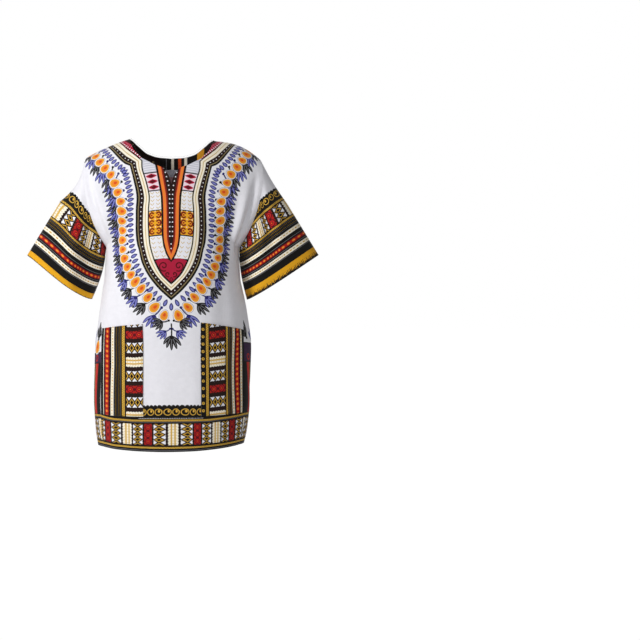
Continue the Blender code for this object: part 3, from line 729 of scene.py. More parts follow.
Block = namedtuple("Block", "kind top foot")
BLOCKS = [
    Block("lines", 112, 156), Block("lenses", 159, 204), Block("chevrons", 207, 255),
    Block("scrolls", 258, 317), Block("chevrons", 320, 376),
]
BLOCK_GROUND = {"lines": "mist", "lenses": "pink", "chevrons": "cream", "scrolls": "amber"}
BLOCK_ROWS = {"lines": 7, "lenses": 3, "chevrons": 5, "scrolls": 3}
BLOCK_MARGIN = 3.2
SPEAR_MARGIN = 1.5
FIRST_LINE = 122
LENSES = (("crimson", 0.49, 6.4), ("wine", 0.27, 4.0))
VEE = np.array([(-4.4, -2.4), (0, 2.2), (4.4, -2.4)])
DIAMOND = np.array([(0, -6), (4, 0), (0, 6), (-4, 0)])


def row_of_lines(sketch, at, wide, height):
    if at([(0, 0)])[0, 1] > FIRST_LINE:
        sketch.stroke("white", at([(2 - wide / 2, 0), (wide / 2 - 2, 0)]), 1.6)


def row_of_lenses(sketch, at, wide, height):
    t = np.linspace(-1, 1, 9)
    for ink, share, tall in LENSES:
        sketch.fill(ink, at(lens_shape(t, tall * (1 - np.abs(t)) ** 0.75) * [wide * share, 1]))


def row_of_chevrons(sketch, at, wide, height):
    for dx in (-wide / 4, wide / 4):
        sketch.stroke("sand", at(VEE + [dx, 0]), 1.9)


def row_of_scrolls(sketch, at, wide, height):
    t = np.linspace(0.15, 1.85, 12) * math.pi
    for dx in (-wide * 0.27, wide * 0.27):
        bow = np.stack([-5.6 * np.sign(dx) * np.cos(t), 6.6 * np.sin(t)], axis=1)
        sketch.stroke("maroon", at(bow + [dx, 0]), 4.0)
        sketch.disc("brick", *at([(dx, 0)])[0], 2.4, sides=8)
    sketch.fill("yellow", at(DIAMOND))
    for dx in (-0.42, 0.42, 0):
        sketch.disc("cream", *at([(dx * wide, -0.5 * height)])[0], 1.4, sides=8)


BLOCK_MAKERS = {
    "lines": row_of_lines, "lenses": row_of_lenses, "chevrons": row_of_chevrons, "scrolls": row_of_scrolls,
}


def draw_block(sketch, block, side):
    """One coloured block between the cream band and the spear, on the left or the right."""
    levels = np.linspace(block.top, block.foot, 12)
    outer_line = np.stack([block_half(levels) - BLOCK_MARGIN, levels], axis=1)
    inner_line = np.stack([half_at(SPEAR, levels) + SPEAR_MARGIN, levels], axis=1)[::-1]
    sign = np.array([side, 1])
    sketch.fill(BLOCK_GROUND[block.kind], np.vstack([outer_line, inner_line]) * sign)
    if block.kind == "chevrons":
        sketch.fill("white", np.vstack([outer_line - [1.6, 0], inner_line + [1.6, 0]]) * sign)
    height = (block.foot - block.top) / BLOCK_ROWS[block.kind]
    for y in block.top + (np.arange(BLOCK_ROWS[block.kind]) + 0.5) * height:
        right = float(block_half(y)) - BLOCK_MARGIN
        left = float(half_at(SPEAR, y)) + SPEAR_MARGIN
        middle = np.array([(left + right) / 2, y])
        BLOCK_MAKERS[block.kind](sketch, lambda points: (points + middle) * sign, right - left, height)


Tooth = namedtuple("Tooth", "ink inset start half tip back lean")
STRIP_TEETH = [Tooth("white", 4.2, 2.0, 2.8, 5.0, 1.0, 0.0), Tooth("pink", 12.5, 6.0, 2.2, 3.4, -0.2, 1.0)]
TOOTH_STEP = 8.5


def draw_neck_strip(sketch):
    """The red strip with white teeth that runs beside the neckline, from the shoulder to the kink."""
    strip = BLOCK[: KINK * 8 + 1]
    both_fills(sketch, "brown", np.vstack([strip, sideways(strip, 60.0)[::-1]]))
    both_fills(sketch, "crimson", np.vstack([sideways(strip, 3.2), sideways(strip, 19.0)[::-1]]))
    for tooth in STRIP_TEETH:
        places, run = spaced(sideways(strip, tooth.inset), TOOTH_STEP, start=tooth.start)
        for place, (dx, dy) in zip(places, run):
            tip = np.array([dy, -dx]) * tooth.tip
            along = np.array([dx, dy]) * tooth.half
            corners = [place - along, place + along * tooth.back, place + tip + along * tooth.lean]
            both_fills(sketch, tooth.ink, np.array(corners))
    both_strokes(sketch, "wine", sideways(strip, 18.0), 2.6)


def mixed(first, second, share):
    """A curve between two others that have as many points."""
    return first * (1 - share) + second * share


RIM_DOT_STEP = 11.0
SLIT_DOT_STEP = 11.6
SLIT_DOT_FROM = {True: 148, False: 206}
LAST_DOTS = (341, 352)
HEART_TOP = [(-39, 381), (-26, 376), (-12, 376.5), (0, 384)]
HEART_TIP = 435
SPEAR_LAYERS = (
    (0.0, "black"), (3.4, "flame"), (5.2, "orange"), (8.6, "flame"), (11.6, "maroon"), (15.5, "brown"),
)
UNCUT_SLIT = [(-17, 100), (17, 100), (0, 204)]


def draw_shield(sketch, slit):
    """The whole yoke. The back has no neck slit, so crimson cloth shows where the front is cut."""
    shield(sketch, "black", RIM)
    both_strokes(sketch, "olive", mixed(RIM, CREAM, 0.34), 2.4)
    shield(sketch, "brown", mixed(RIM, CREAM, 0.50))
    dotted = mixed(RIM, CREAM, 0.70)
    for curve in (dotted, mirrored(dotted)):
        for x, y in spaced(curve, RIM_DOT_STEP, start=4.0)[0]:
            sketch.disc("white", x, y, 1.5, sides=8)
    shield(sketch, "cream", CREAM)
    both_strokes(sketch, "sand", mixed(CREAM, BLOCK, 0.5), 2.2)
    shield(sketch, "black", BLOCK)
    draw_neck_strip(sketch)
    for block in BLOCKS:
        for side in (-1, 1):
            draw_block(sketch, block, side)
    top = spline(HEART_TOP)
    below = BLOCK[(BLOCK[:, 1] > 383) & (BLOCK[:, 0] < -4)] + [BLOCK_MARGIN, -3]
    heart = [top, mirrored(top)[-2::-1], mirrored(below), [(0, HEART_TIP)], below[::-1]]
    sketch.fill("crimson", np.vstack(heart))
    draw_spirals(sketch)
    for inset, ink in SPEAR_LAYERS:
        shield(sketch, ink, spear_outline(inset))
    if not slit:
        sketch.fill("crimson", UNCUT_SLIT)
    for q in np.arange(SLIT_DOT_FROM[slit], 332, SLIT_DOT_STEP):
        half = float(half_at(SLIT_DOTS, q))
        for x in (-half, half):
            sketch.disc("white", x, q, 1.7, sides=8)
    for q in LAST_DOTS:
        sketch.disc("white", 0, q, 1.6, sides=8)


print("shield curves have", len(RIM), "points each")

# %% [markdown]
# Round the shield runs a ring of blue petals, then a ring of orange flowers, with leafy tufts between
# them in black and blue. Each is one small function of its own place and direction, so one loop can set
# them along the curve, upright to it and at even steps.

# %% Petals, flowers and tufts
PETAL_KNOTS = (0, 110, 300, 420)
PETAL_STEPS = (16.5, 13.4, 12.4, 10.6)
PETAL_OUT = 5.5
FLOWER_KNOTS = (0, 75, 130, 240, 420)
FLOWER_STEPS = (33, 30, 22.5, 24.5, 26)
Ring = namedtuple("Ring", "q flower knob lean stem")
RINGS = [
    Ring(0, 44, 27, 36, 30), Ring(60, 45, 28, 36, 32), Ring(110, 48, 30, 30, 33),
    Ring(155, 50, 31, 22, 32), Ring(180, 49, 31, 20, 30), Ring(205, 44, 28, 18, 29),
    Ring(235, 40, 26, 17, 29), Ring(275, 41, 26, 16, 29), Ring(335, 47, 29, 8, 29),
    Ring(360, 45, 28, 4, 30), Ring(388, 38, 25, -4, 32), Ring(410, 34, 23, -6, 33),
    Ring(430, 31, 22, -6, 33), Ring(450, 33, 24, -8, 31), Ring(462, 40, 29, -8, 28),
    Ring(468, 50, 35, -8, 26),
]


def ring_value(column, q):
    return np.interp(q, [row.q for row in RINGS], [getattr(row, column) for row in RINGS])


Blade = namedtuple("Blade", "ink length width shift")
PETAL_LAYERS = [Blade("navy", 20.0, 10.2, 0.0), Blade("lilac", 13.4, 5.2, 3.6)]


def petal(sketch, x, y, angle):
    """A blue petal, wider at its outer end."""
    t = np.linspace(0, 1, 8)
    for blade in PETAL_LAYERS:
        half = blade.width / 2 * np.sin(math.pi * t**1.15) ** 0.62
        half[0] = half[-1] = 0
        outline = lens_shape(t * blade.length, half) + [blade.shift, 0]
        sketch.fill(blade.ink, turned_to(outline, x, y, angle))


Egg = namedtuple("Egg", "ink length width sides")
FLOWER_LAYERS = [
    Egg("stone", 34, 28, 14), Egg("white", 31.4, 25.4, 14), Egg("amber", 28, 21.5, 14),
    Egg("orange", 19, 14.5, 12),
]
FLOWER_HEART = Egg("ember", 10, 7, 10)
HEART_BACK = 1.5


def draw_egg(sketch, egg, x, y, angle, size):
    turn = np.linspace(0, 2 * math.pi, egg.sides, endpoint=False)
    narrowed = np.sin(turn) * egg.width / 2 * (1 + 0.22 * np.cos(turn))
    outline = np.stack([np.cos(turn) * egg.length / 2, narrowed], axis=1) * size
    sketch.fill(egg.ink, turned_to(outline, x, y, angle))


def flower(sketch, x, y, angle, size=1.0):
    """An orange egg with a fine grey contour round it and a red heart."""
    for egg in FLOWER_LAYERS:
        draw_egg(sketch, egg, x, y, angle, size)
    x, y = x - math.cos(angle) * HEART_BACK, y - math.sin(angle) * HEART_BACK
    draw_egg(sketch, FLOWER_HEART, x, y, angle, size)


TuftInks = namedtuple("TuftInks", "line inside light_share")
TUFT_INKS = {"black": TuftInks("soot", "ash", 0.26), "blue": TuftInks("navy", "lilac", 0.46)}
KNOB_RADIUS = 3.6
STEM_WIDTH = 3.5
FINGER_LENGTH = 34
FINGER_WIDTHS = np.array([4.6, 5.8, 7.1, 8.2, 8.6, 8.2, 6.8, 4.4, 0.8])
FINGER_TURN = 23
HAND_TURN = 16


def ribbon_of(curve, widths):
    """The outline of a band of these widths along a curve."""
    return np.vstack([sideways(curve, widths / 2), sideways(curve, -widths / 2)[::-1]])


def tuft(sketch, x, y, angle, kind, stem=24.0, size=1.0, fingers=4, side=1):
    """A stem with a knob at its root and a hand of curved, pointed fingers at its end."""
    inks = TUFT_INKS[kind]
    root = np.array([x, y])
    reach = np.array([math.cos(angle), math.sin(angle)])
    end = root + reach * stem
    if stem > 0:
        sketch.disc(inks.line, x, y, KNOB_RADIUS * size, sides=9)
        aside = np.array([-reach[1], reach[0]]) * 1.5 * side
        sketch.stroke(inks.line, spline([root, (root + end) / 2 + aside, end], parts=3), STEM_WIDTH * size)
    curves = []
    for share in np.arange(fingers) / (fingers - 1) - 0.5:
        turn = math.radians(share * FINGER_TURN * (fingers - 1) + HAND_TURN)
        length = (FINGER_LENGTH - 11 * max(share, 0) - 3 * abs(share)) * size
        path = spline([(-1.5, 0), (length * 0.5, side * share * 5.5 * size), (length, 0)], parts=4)
        curves.append(turned_to(path, end[0], end[1], angle + side * turn))
    for curve in curves:
        sketch.fill(inks.line, ribbon_of(curve, FINGER_WIDTHS * size))
    for curve in curves:
        light = FINGER_WIDTHS * size * inks.light_share
        left, right = sideways(curve, light / 2)[2:8], sideways(curve, -light / 2)[2:8]
        sketch.fill(inks.inside, np.vstack([left, right[::-1]]))


SOFT_STEP = 4.0


def softened(curve, reach):
    """The curve at even steps, with each place averaged with its neighbours within the reach."""
    even = spaced(curve, SOFT_STEP)[0]
    width = int(reach / SOFT_STEP)
    padded = np.vstack([2 * even[:1] - even[width:0:-1], even, 2 * even[-1:] - even[-2 : -width - 2 : -1]])
    kernel = np.hanning(2 * width + 1)
    kernel = kernel / kernel.sum()
    return np.stack([np.convolve(padded[:, k], kernel, mode="valid") for k in (0, 1)], axis=1)


FULL_RIM = np.vstack([RIM, mirrored(RIM)[-2::-1]])


def right_half(curve):
    """The part of a curve round the shield that lies right of its tip, from the tip upwards."""
    start = np.argmax(curve[:, 0] > 0)
    return np.vstack([[(0, curve[start, 1])], curve[start:]])


PETAL_SOFT = 28
FLOWER_SOFT = 52
FIRST_PETAL = 10.0
FIRST_FLOWER = 17.5
FIRST_KNOB = 25.0
KNOB_STEPS = np.array(FLOWER_STEPS) * 0.93


def outward(dx, dy, side):
    """The angle away from the shield for a step along its right side, mirrored on the left."""
    out = math.atan2(dx, -dy)
    return out if side > 0 else math.pi - out


def draw_rings(sketch):
    """Petals, flowers and tufts, from the tip up each side to the shoulder."""
    soft = softened(FULL_RIM, PETAL_SOFT)
    petals = spaced(right_half(sideways(soft, -PETAL_OUT)), PETAL_STEPS, FIRST_PETAL, PETAL_KNOTS)
    soft = softened(FULL_RIM, FLOWER_SOFT)
    half = right_half(sideways(soft, -ring_value("flower", soft[:, 1])))
    flowers = spaced(half, FLOWER_STEPS, FIRST_FLOWER, FLOWER_KNOTS)
    half = right_half(sideways(soft, -ring_value("knob", soft[:, 1])))
    knobs = spaced(half, KNOB_STEPS, FIRST_KNOB, FLOWER_KNOTS)
    for side in (-1, 1):
        for k, ((x, y), (dx, dy)) in enumerate(zip(*knobs)):
            angle = outward(dx, dy, side) + side * math.radians(float(ring_value("lean", y)))
            kind = "black" if k % 2 else "blue"
            tuft(sketch, side * x, y, angle, kind, float(ring_value("stem", y)), side=side)
        for (x, y), (dx, dy) in zip(*petals):
            petal(sketch, side * x, y, outward(dx, dy, side))
        for k, ((x, y), (dx, dy)) in enumerate(zip(*flowers)):
            flower(sketch, side * x, y, outward(dx, dy, side), 0.95 + 0.07 * math.sin(2.3 * k + side))
    petal(sketch, 0, float(RIM[-1, 1]) + PETAL_OUT, math.radians(90))


Spray = namedtuple("Spray", "x y turn kind stem size fingers")
SPRAYS = [Spray(6, 528, 80, "black", 17, 0.80, 5), Spray(3, 548, 62, "blue", 13, 0.74, 4)]
PENDANT_STEM = [(0, 535), (0.8, 552), (0.4, 571)]


def draw_pendant(sketch):
    """The small bouquet that hangs below the tip."""
    for side in (-1, 1):
        for spray in SPRAYS:
            angle = math.radians(90 - side * spray.turn)
            hand = (spray.kind, spray.stem, spray.size, spray.fingers, side)
            tuft(sketch, side * spray.x, spray.y, angle, *hand)
    sketch.stroke("soot", PENDANT_STEM, 3.4)
    tuft(sketch, 0.4, 567, math.radians(74), "black", 0, 1.0, 5)


# %% [markdown]
# The border is a long printed ribbon of stripes. The maker cuts it for the cuffs, the hem and, turned a
# quarter, for the pockets. So it is drawn once, stripe by stripe in its own flat coordinates, x along the
# ribbon and y across it, and each piece places it where it was cut.

# %% The border's stripes
ZIGZAG_STEP = 3.0
LINE_INKS = ("ash", "old_gold", "slate", "old_gold", "ash")
HALF_LINE = 0.32
BEAD_STEP = 7.5
LINK_STEP = 12.5
BUMP_STEP = 9.5
RING_STEP = 18.5
RING_RADIUS = 8.6
RING_WIDTH = 1.9


def zigzag(sketch, x0, x1, y0, y1):
    """A gold cord with a dark zigzag on it, between two black edges."""
    sketch.box("black", x0, x1, y0, y1)
    height = y1 - y0
    middle = (y0 + y1) / 2
    sketch.box("gold", x0, x1, middle - height * 0.30, middle + height * 0.30)
    xs = np.arange(x0, x1, ZIGZAG_STEP)
    wave = np.stack([xs, middle + height * 0.20 * (-1.0) ** np.arange(len(xs))], axis=1)
    sketch.stroke("brown", wave, height * 0.11)


def lines(sketch, x0, x1, y0, y1):
    """Black with thin grey and gold lines."""
    sketch.box("black", x0, x1, y0, y1)
    for k, ink in enumerate(LINE_INKS):
        y = y0 + (k + 0.6) * (y1 - y0) / len(LINE_INKS)
        sketch.box(ink, x0, x1, y - HALF_LINE, y + HALF_LINE)


def beads(sketch, x0, x1, y0, y1):
    """A cream stripe with small gold dashes along its middle."""
    sketch.box("cream", x0, x1, y0, y1)
    for k, x in enumerate(np.arange(x0 + 3, x1, BEAD_STEP)):
        sketch.disc("gold" if k % 2 else "sand", x, (y0 + y1) / 2, 2.9, 1.6, sides=8)


Link = namedtuple("Link", "ink along wide tall sides")
LINKS = [
    Link("brick", 6.2, 3.6, 0.66, 10), Link("brick", 0, 5.4, 0.80, 12), Link("ember", 0, 4.2, 0.52, 10),
    Link("amber", 0, 2.8, 0.26, 8),
]


def chain(sketch, x0, x1, y0, y1):
    """A dark red stripe with a chain of orange links."""
    sketch.box("wine", x0, x1, y0, y1)
    for x in np.arange(x0 + 4, x1, LINK_STEP):
        for link in LINKS:
            tall = link.tall * (y1 - y0) / 2
            sketch.disc(link.ink, x + link.along, (y0 + y1) / 2, link.wide, tall, sides=link.sides)


def scallops(sketch, x0, x1, y0, y1):
    """A black band with a bumpy upper edge and gold rings."""
    height = y1 - y0
    sketch.box("black", x0, x1, y0, y0 + height * 0.8)
    for x in np.arange(x0, x1 + 9, BUMP_STEP):
        sketch.disc("black", x, y0 + height * 0.78, 5.6, height * 0.24, sides=10)
    radius = min(RING_RADIUS, height * 0.31)
    for x in np.arange(x0 + 8, x1, RING_STEP):
        y = y0 + height * 0.46
        sketch.ring("gold", "black", x, y, radius, RING_WIDTH)
        sketch.disc("gold", x + radius * 0.2, y + radius * 0.25, radius * 0.3, radius * 0.42, sides=8)


# %% [markdown]
# The tallest stripe of the ribbon is a row of columns: cream with gold bars, white triangles with gold
# diamonds, and red with rings. Each column is a small figure that repeats down its own width.

# %% The border's columns
RED_STEP = 20
DIAMOND_STEP = 14.5
SAND_STEP = 7.0
NOTCH_STEP = 7.0


def even_rows(y0, y1, step):
    """The height of each row, and where the rows between y0 and y1 start and end."""
    count = max(2, round((y1 - y0) / step))
    tall = (y1 - y0) / count
    return tall, [y0 + k * tall for k in range(count + 1)]


def red_column(sketch, x0, x1, y0, y1):
    sketch.box("brick", x0, x1, y0, y1)
    middle = (x0 + x1) / 2
    tall, rows = even_rows(y0, y1, RED_STEP)
    reach = min(x1 - x0, tall)
    for y in rows[:-1]:
        sketch.ring("wine", "red", middle, y + tall / 2, reach * 0.46, 2.2, sides=12)
        sketch.ring("wine", "ember", middle, y + tall / 2, reach * 0.2, 1.8, sides=8)
    for y in rows:
        sketch.fill("wine", [(middle - 5, y), (middle, y - 3.2), (middle + 5, y), (middle, y + 3.2)])


def cream_column(sketch, x0, x1, y0, y1):
    sketch.box("cream", x0, x1, y0, y1)
    wide = x1 - x0
    for share in (0.33, 0.67):
        sketch.box("gold", x0 + wide * share - 1.8, x0 + wide * share + 1.8, y0, y1)
    for y in np.arange(y0 + 3, y1 - 1, SAND_STEP):
        sketch.box("sand", x0 + wide * 0.14, x0 + wide * 0.86, y, y + 1.3)


def diamond_column(sketch, x0, x1, y0, y1):
    sketch.box("brown", x0, x1, y0, y1)
    middle = (x0 + x1) / 2
    wide = (x1 - x0) / 2
    tall, rows = even_rows(y0, y1, DIAMOND_STEP)
    for y in rows[:-1]:
        for side in (-1, 1):
            outer = middle + side * (wide - 0.6)
            tooth = [(outer, y + tall * 0.06), (outer, y + tall * 0.94)]
            sketch.fill("white", tooth + [(middle + side * wide * 0.30, y + tall / 2)])
    for y in rows:
        for ink, share in (("gold", 1.0), ("black", 0.66)):
            a, b = wide * 0.74 * share, tall * 0.43 * share
            top, foot = min(y + b, y1), max(y - b, y0)
            sketch.fill(ink, [(middle - a, y), (middle, foot), (middle + a, y), (middle, top)])


COLUMNS = [("cream", 25), ("diamond", 27), ("red", 19.5), ("diamond", 27)]
COLUMN_MAKERS = {"cream": cream_column, "diamond": diamond_column, "red": red_column}
COLUMN_GAP = 3.2


def columns(sketch, x0, x1, y0, y1, middle=0.0, gap=COLUMN_GAP):
    """The row of columns between dark wavy bars. One cream column is centred on middle."""
    sketch.box("brown", x0, x1, y0, y1)
    period = sum(width for _, width in COLUMNS) + gap * len(COLUMNS)
    start = middle - COLUMNS[0][1] / 2
    x = start + math.floor((x0 - start) / period) * period
    while x < x1:
        for kind, width in COLUMNS:
            if x + width > x0 and x < x1:
                COLUMN_MAKERS[kind](sketch, x, x + width, y0 + 1.2, y1 - 1.2)
                for y in np.arange(y0 + 3, y1 - 2, NOTCH_STEP):
                    for place in (x, x + width):
                        sketch.disc("brown", place, y, 1.5, 2.1, sides=8)
            x += width + gap


BRISTLE_STEP = 4.2


def brush(sketch, x0, x1, y0, y1):
    """A ragged black edge that runs up from the cloth's edge into the yellow stripe."""
    draw = np.random.default_rng(7)
    edge = [(x0, y0)]
    for x in np.arange(x0, x1, BRISTLE_STEP):
        edge.append((x + 1.2, y0 + (y1 - y0) * draw.uniform(0.18, 0.45)))
        edge.append((x + draw.uniform(2.4, 3.8), y0 + (y1 - y0) * draw.uniform(0.55, 1.0)))
    edge.append((x1 + BRISTLE_STEP, y0))
    sketch.fill("soot", edge)


STRIPE_MAKERS = {"zigzag": zigzag, "lines": lines, "beads": beads, "chain": chain, "scallops": scallops}
Stripe = namedtuple("Stripe", "kind start end")
CUFF_STRIPES = [
    Stripe("yellow", -12, 15), Stripe("black", 15, 33), Stripe("ash", 33, 34.3), Stripe("black", 34.3, 36),
    Stripe("beads", 36, 45.5), Stripe("black", 45.5, 49), Stripe("ash", 49, 50.3), Stripe("black", 50.3, 53),
    Stripe("chain", 53, 64), Stripe("black", 64, 67), Stripe("ash", 67, 68.3), Stripe("black", 68.3, 77),
    Stripe("beads", 77, 87), Stripe("black", 87, 91), Stripe("lines", 91, 108), Stripe("zigzag", 108, 115),
    Stripe("columns", 115, 158), Stripe("zigzag", 158, 166), Stripe("soot", 166, 168),
    Stripe("scallops", 168, 195),
]
LEFT_POCKET_STRIPES = [
    Stripe("black", -8, 3), Stripe("cream", 3, 5), Stripe("black", 5, 8), Stripe("chain", 8, 27),
    Stripe("black", 27, 32), Stripe("beads", 32, 41), Stripe("lines", 41, 61), Stripe("zigzag", 61, 73),
    Stripe("columns", 73, 119), Stripe("soot", 119, 130),
]
RIGHT_POCKET_STRIPES = [
    Stripe("black", -8, 14), Stripe("beads", 14, 20), Stripe("black", 20, 23), Stripe("chain", 23, 38),
    Stripe("black", 38, 41), Stripe("beads", 41, 48), Stripe("lines", 48, 61), Stripe("zigzag", 61, 69),
    Stripe("columns", 69, 114), Stripe("zigzag", 114, 124), Stripe("scallops", 124, 136),
]
HEM_STRIPES = [
    Stripe("soot", -6, 3), Stripe("ash", 3, 4.2), Stripe("black", 4.2, 7), Stripe("zigzag", 7, 14),
    Stripe("black", 14, 16), Stripe("columns", 16, 71), Stripe("black", 71, 73.5), Stripe("ash", 73.5, 74.6),
    Stripe("zigzag", 74.6, 81.5), Stripe("black", 81.5, 84),
]


def draw_stripes(sketch, stripes, x0, x1, middle=0.0, gap=COLUMN_GAP):
    """Stripes of plain ink, or of a figure that has its own function."""
    for stripe in stripes:
        if stripe.kind == "columns":
            columns(sketch, x0, x1, stripe.start, stripe.end, middle, gap)
        elif stripe.kind in STRIPE_MAKERS:
            STRIPE_MAKERS[stripe.kind](sketch, x0, x1, stripe.start, stripe.end)
        else:
            sketch.box(stripe.kind, x0, x1, stripe.start, stripe.end)


# %% [markdown]
# Now the pieces are drawn. The front has the shield with its slit, the flower rings, the pendant, and a
# band of scrolls between the pockets above the hem. The back isn't seen in the photograph, so it gets the
# same shield without the slit, the same hem, and at its sides the strips that show beyond the pockets.

# %% Draw the front and the back


def around_print(points):
    return points + np.array([PRINT_MIDDLE, 0])


def plainly(points):
    return points


# Where the front's hem was eased in, its columns lie closer on the right than on the left. Each pair is a
# place on the ribbon and its place on the cloth, counted from the hem's middle.
HEM_MIDDLE = 3.7
HEM_EASE = [
    (-167, -173), (-140.5, -145.3), (-111.3, -113.3), (-82.1, -88.2), (-55.6, -61.8), (-29.2, -35.3),
    (-12.5, -13), (12.5, 13), (29.2, 35.4), (55.6, 59), (82.1, 82.1), (111.3, 109), (140.5, 133.7),
    (167, 154.2),
]
BEYOND_EASE = 500
HEM_REACH = {True: 270, False: 350}
SCALLOP_BAND = (-72, 82, 84, 116)
HEM_DOT_STEP = 4.0
HEM_DOT_HEIGHT = 83.2
POCKET_OVERLAP = 0.03
DARK_FOOT = 0.790


def eased(x, pairs):
    """Places on the ribbon moved to where they lie on the cloth, and straight on beyond the pairs."""
    ribbon, cloth = np.array(pairs).T
    ribbon = np.concatenate([[ribbon[0] - BEYOND_EASE], ribbon, [ribbon[-1] + BEYOND_EASE]])
    cloth = np.concatenate([[cloth[0] - BEYOND_EASE], cloth, [cloth[-1] + BEYOND_EASE]])
    return np.interp(x, ribbon, cloth)


def hem_place(points):
    """From the hem ribbon's own coordinates to the panel's."""
    return np.stack([points[:, 0], FLAT_LENGTH - points[:, 1]], axis=1)


def front_hem_place(points):
    x = eased(points[:, 0] - HEM_MIDDLE, HEM_EASE) + HEM_MIDDLE
    return hem_place(np.stack([x, points[:, 1]], axis=1))


def dark_under_pocket(sketch, pocket):
    """The printed strip that the pocket is matched to. Only its edges show round the pocket."""
    run = np.linspace(pocket.inner + POCKET_OVERLAP, 1, 12)
    across = pocket.side * np.concatenate([run, run[::-1]])
    drop = np.repeat([pocket.mouth_outer + 0.006, DARK_FOOT], len(run))
    sketch.fill("soot", flat_places(CHARTS["front"], across, drop))


def draw_panel(front):
    sketch = Sketch(around_print)
    draw_rings(sketch)
    draw_shield(sketch, slit=front)
    draw_pendant(sketch)
    reach = HEM_REACH[front]
    dots = (-reach, reach)
    sketch.place = hem_place
    if front:
        sketch.place = plainly
        for pocket in POCKETS:
            dark_under_pocket(sketch, pocket)
        sketch.place = front_hem_place
        scallops(sketch, *SCALLOP_BAND)
        dots = (SCALLOP_BAND[0] - 2, SCALLOP_BAND[1] - 6)
    draw_stripes(sketch, HEM_STRIPES, -reach, reach, middle=HEM_MIDDLE)
    for x in np.arange(*dots, HEM_DOT_STEP):
        sketch.disc("white", x, HEM_DOT_HEIGHT, 1.0, sides=6)
    return sketch


SIDE_SEAM = 322


def side_place(side):
    """From the side ribbon's coordinates to the back panel's: y runs in from the side seam."""
    return lambda points: np.stack([side * (SIDE_SEAM - points[:, 1]), points[:, 0]], axis=1)


SIDE_STRIPES = [
    Stripe("black", -24, 8), Stripe("red", 8, 24), Stripe("gold", 24, 26), Stripe("black", 26, 38),
    Stripe("beads", 38, 46), Stripe("lines", 46, 60), Stripe("zigzag", 60, 68),
]
SIDE_TOP = 640
SIDE_FOOT = 768
PLUM_TOP = {-1: 614, 1: 592}
PLUM_FOOT = 642
PLUM_RING = (628, 20, 9, 4)
SIDE_FLOWER = (-300, 600, math.radians(90), 1.15)
SIDE_TUFTS = [Spray(300, 580, 12, "black", 4, 1.25, 4), Spray(268, 592, -18, "blue", 4, 1.1, 4)]


def draw_back():
    sketch = draw_panel(front=False)
    for side in (-1, 1):
        sketch.place = side_place(side)
        draw_stripes(sketch, SIDE_STRIPES, SIDE_TOP, SIDE_FOOT)
        sketch.box("brown", PLUM_TOP[side], PLUM_FOOT, -24, 68)
        sketch.box("plum", PLUM_TOP[side] + 2.5, SIDE_TOP, -24, 44)
        sketch.ring("brick", "plum", *PLUM_RING)
        sketch.place = plainly
        if side < 0:
            flower(sketch, *SIDE_FLOWER)
        for spray in SIDE_TUFTS:
            angle = math.radians(-90 + side * spray.turn)
            tuft(sketch, side * spray.x, spray.y, angle, spray.kind, spray.stem, spray.size)
    return sketch


SKETCHES = {"front_panel": draw_panel(front=True), "back_panel": draw_back()}
print({name: len(sketch.shapes) for name, sketch in SKETCHES.items()}, "shapes")

# %% [markdown]
# Each piece of cloth is one closed wall. The flat outline, the printed shapes and an even grid go into a
# constrained Delaunay triangulation, which never leaves a triangle half in one ink and half in another.
# The uppermost shape that covers a triangle gives its colour. Then the flat mesh is laid on the shirt
# twice, once for the right side and once for the paler wrong side, and a rim joins the two.

# %% Walls of printed cloth
WRONG_SIDE = np.array(linear("#d9d7dd"))
WRONG_SIDE_SHARE = 0.45


def grid_places(outline):
    """Staggered rows of places over the piece, so that plain cloth can bend too."""
    low = outline.min(axis=0)
    high = outline.max(axis=0)
    rows = []
    for k, y in enumerate(np.arange(low[1], high[1], SPAN * 0.87)):
        x = np.arange(low[0] + SPAN / 2 * (k % 2), high[0], SPAN)
        rows.append(np.stack([x, np.full(len(x), y)], axis=1))
    return np.vstack(rows)


def cut_print(outline, sketch):
    """Flat places, triangles and an ink number for each triangle."""
    outline = divided(outline if area_of(outline) > 0 else outline[::-1])
    rings = [outline] + [points for _, points in sketch.shapes]
    inks = np.array([INK_NAMES.index("white")] + [ink for ink, _ in sketch.shapes])
    starts = np.cumsum([0] + [len(ring) for ring in rings])
    faces = [list(range(a, b)) for a, b in zip(starts[:-1], starts[1:])]
    places = np.vstack(rings + [grid_places(outline)])
    made = delaunay_2d_cdt([Vector(place) for place in places], [], faces, 0, 1e-4)
    inside = [k for k, owners in enumerate(made[5]) if 0 in owners]
    triangles = np.array([made[2][k] for k in inside])
    top = np.array([max(made[5][k]) for k in inside])
    used, triangles = np.unique(triangles, return_inverse=True)
    flat = np.array([tuple(place) for place in made[0]])[used]
    return flat, triangles.reshape(-1, 3), inks[top]


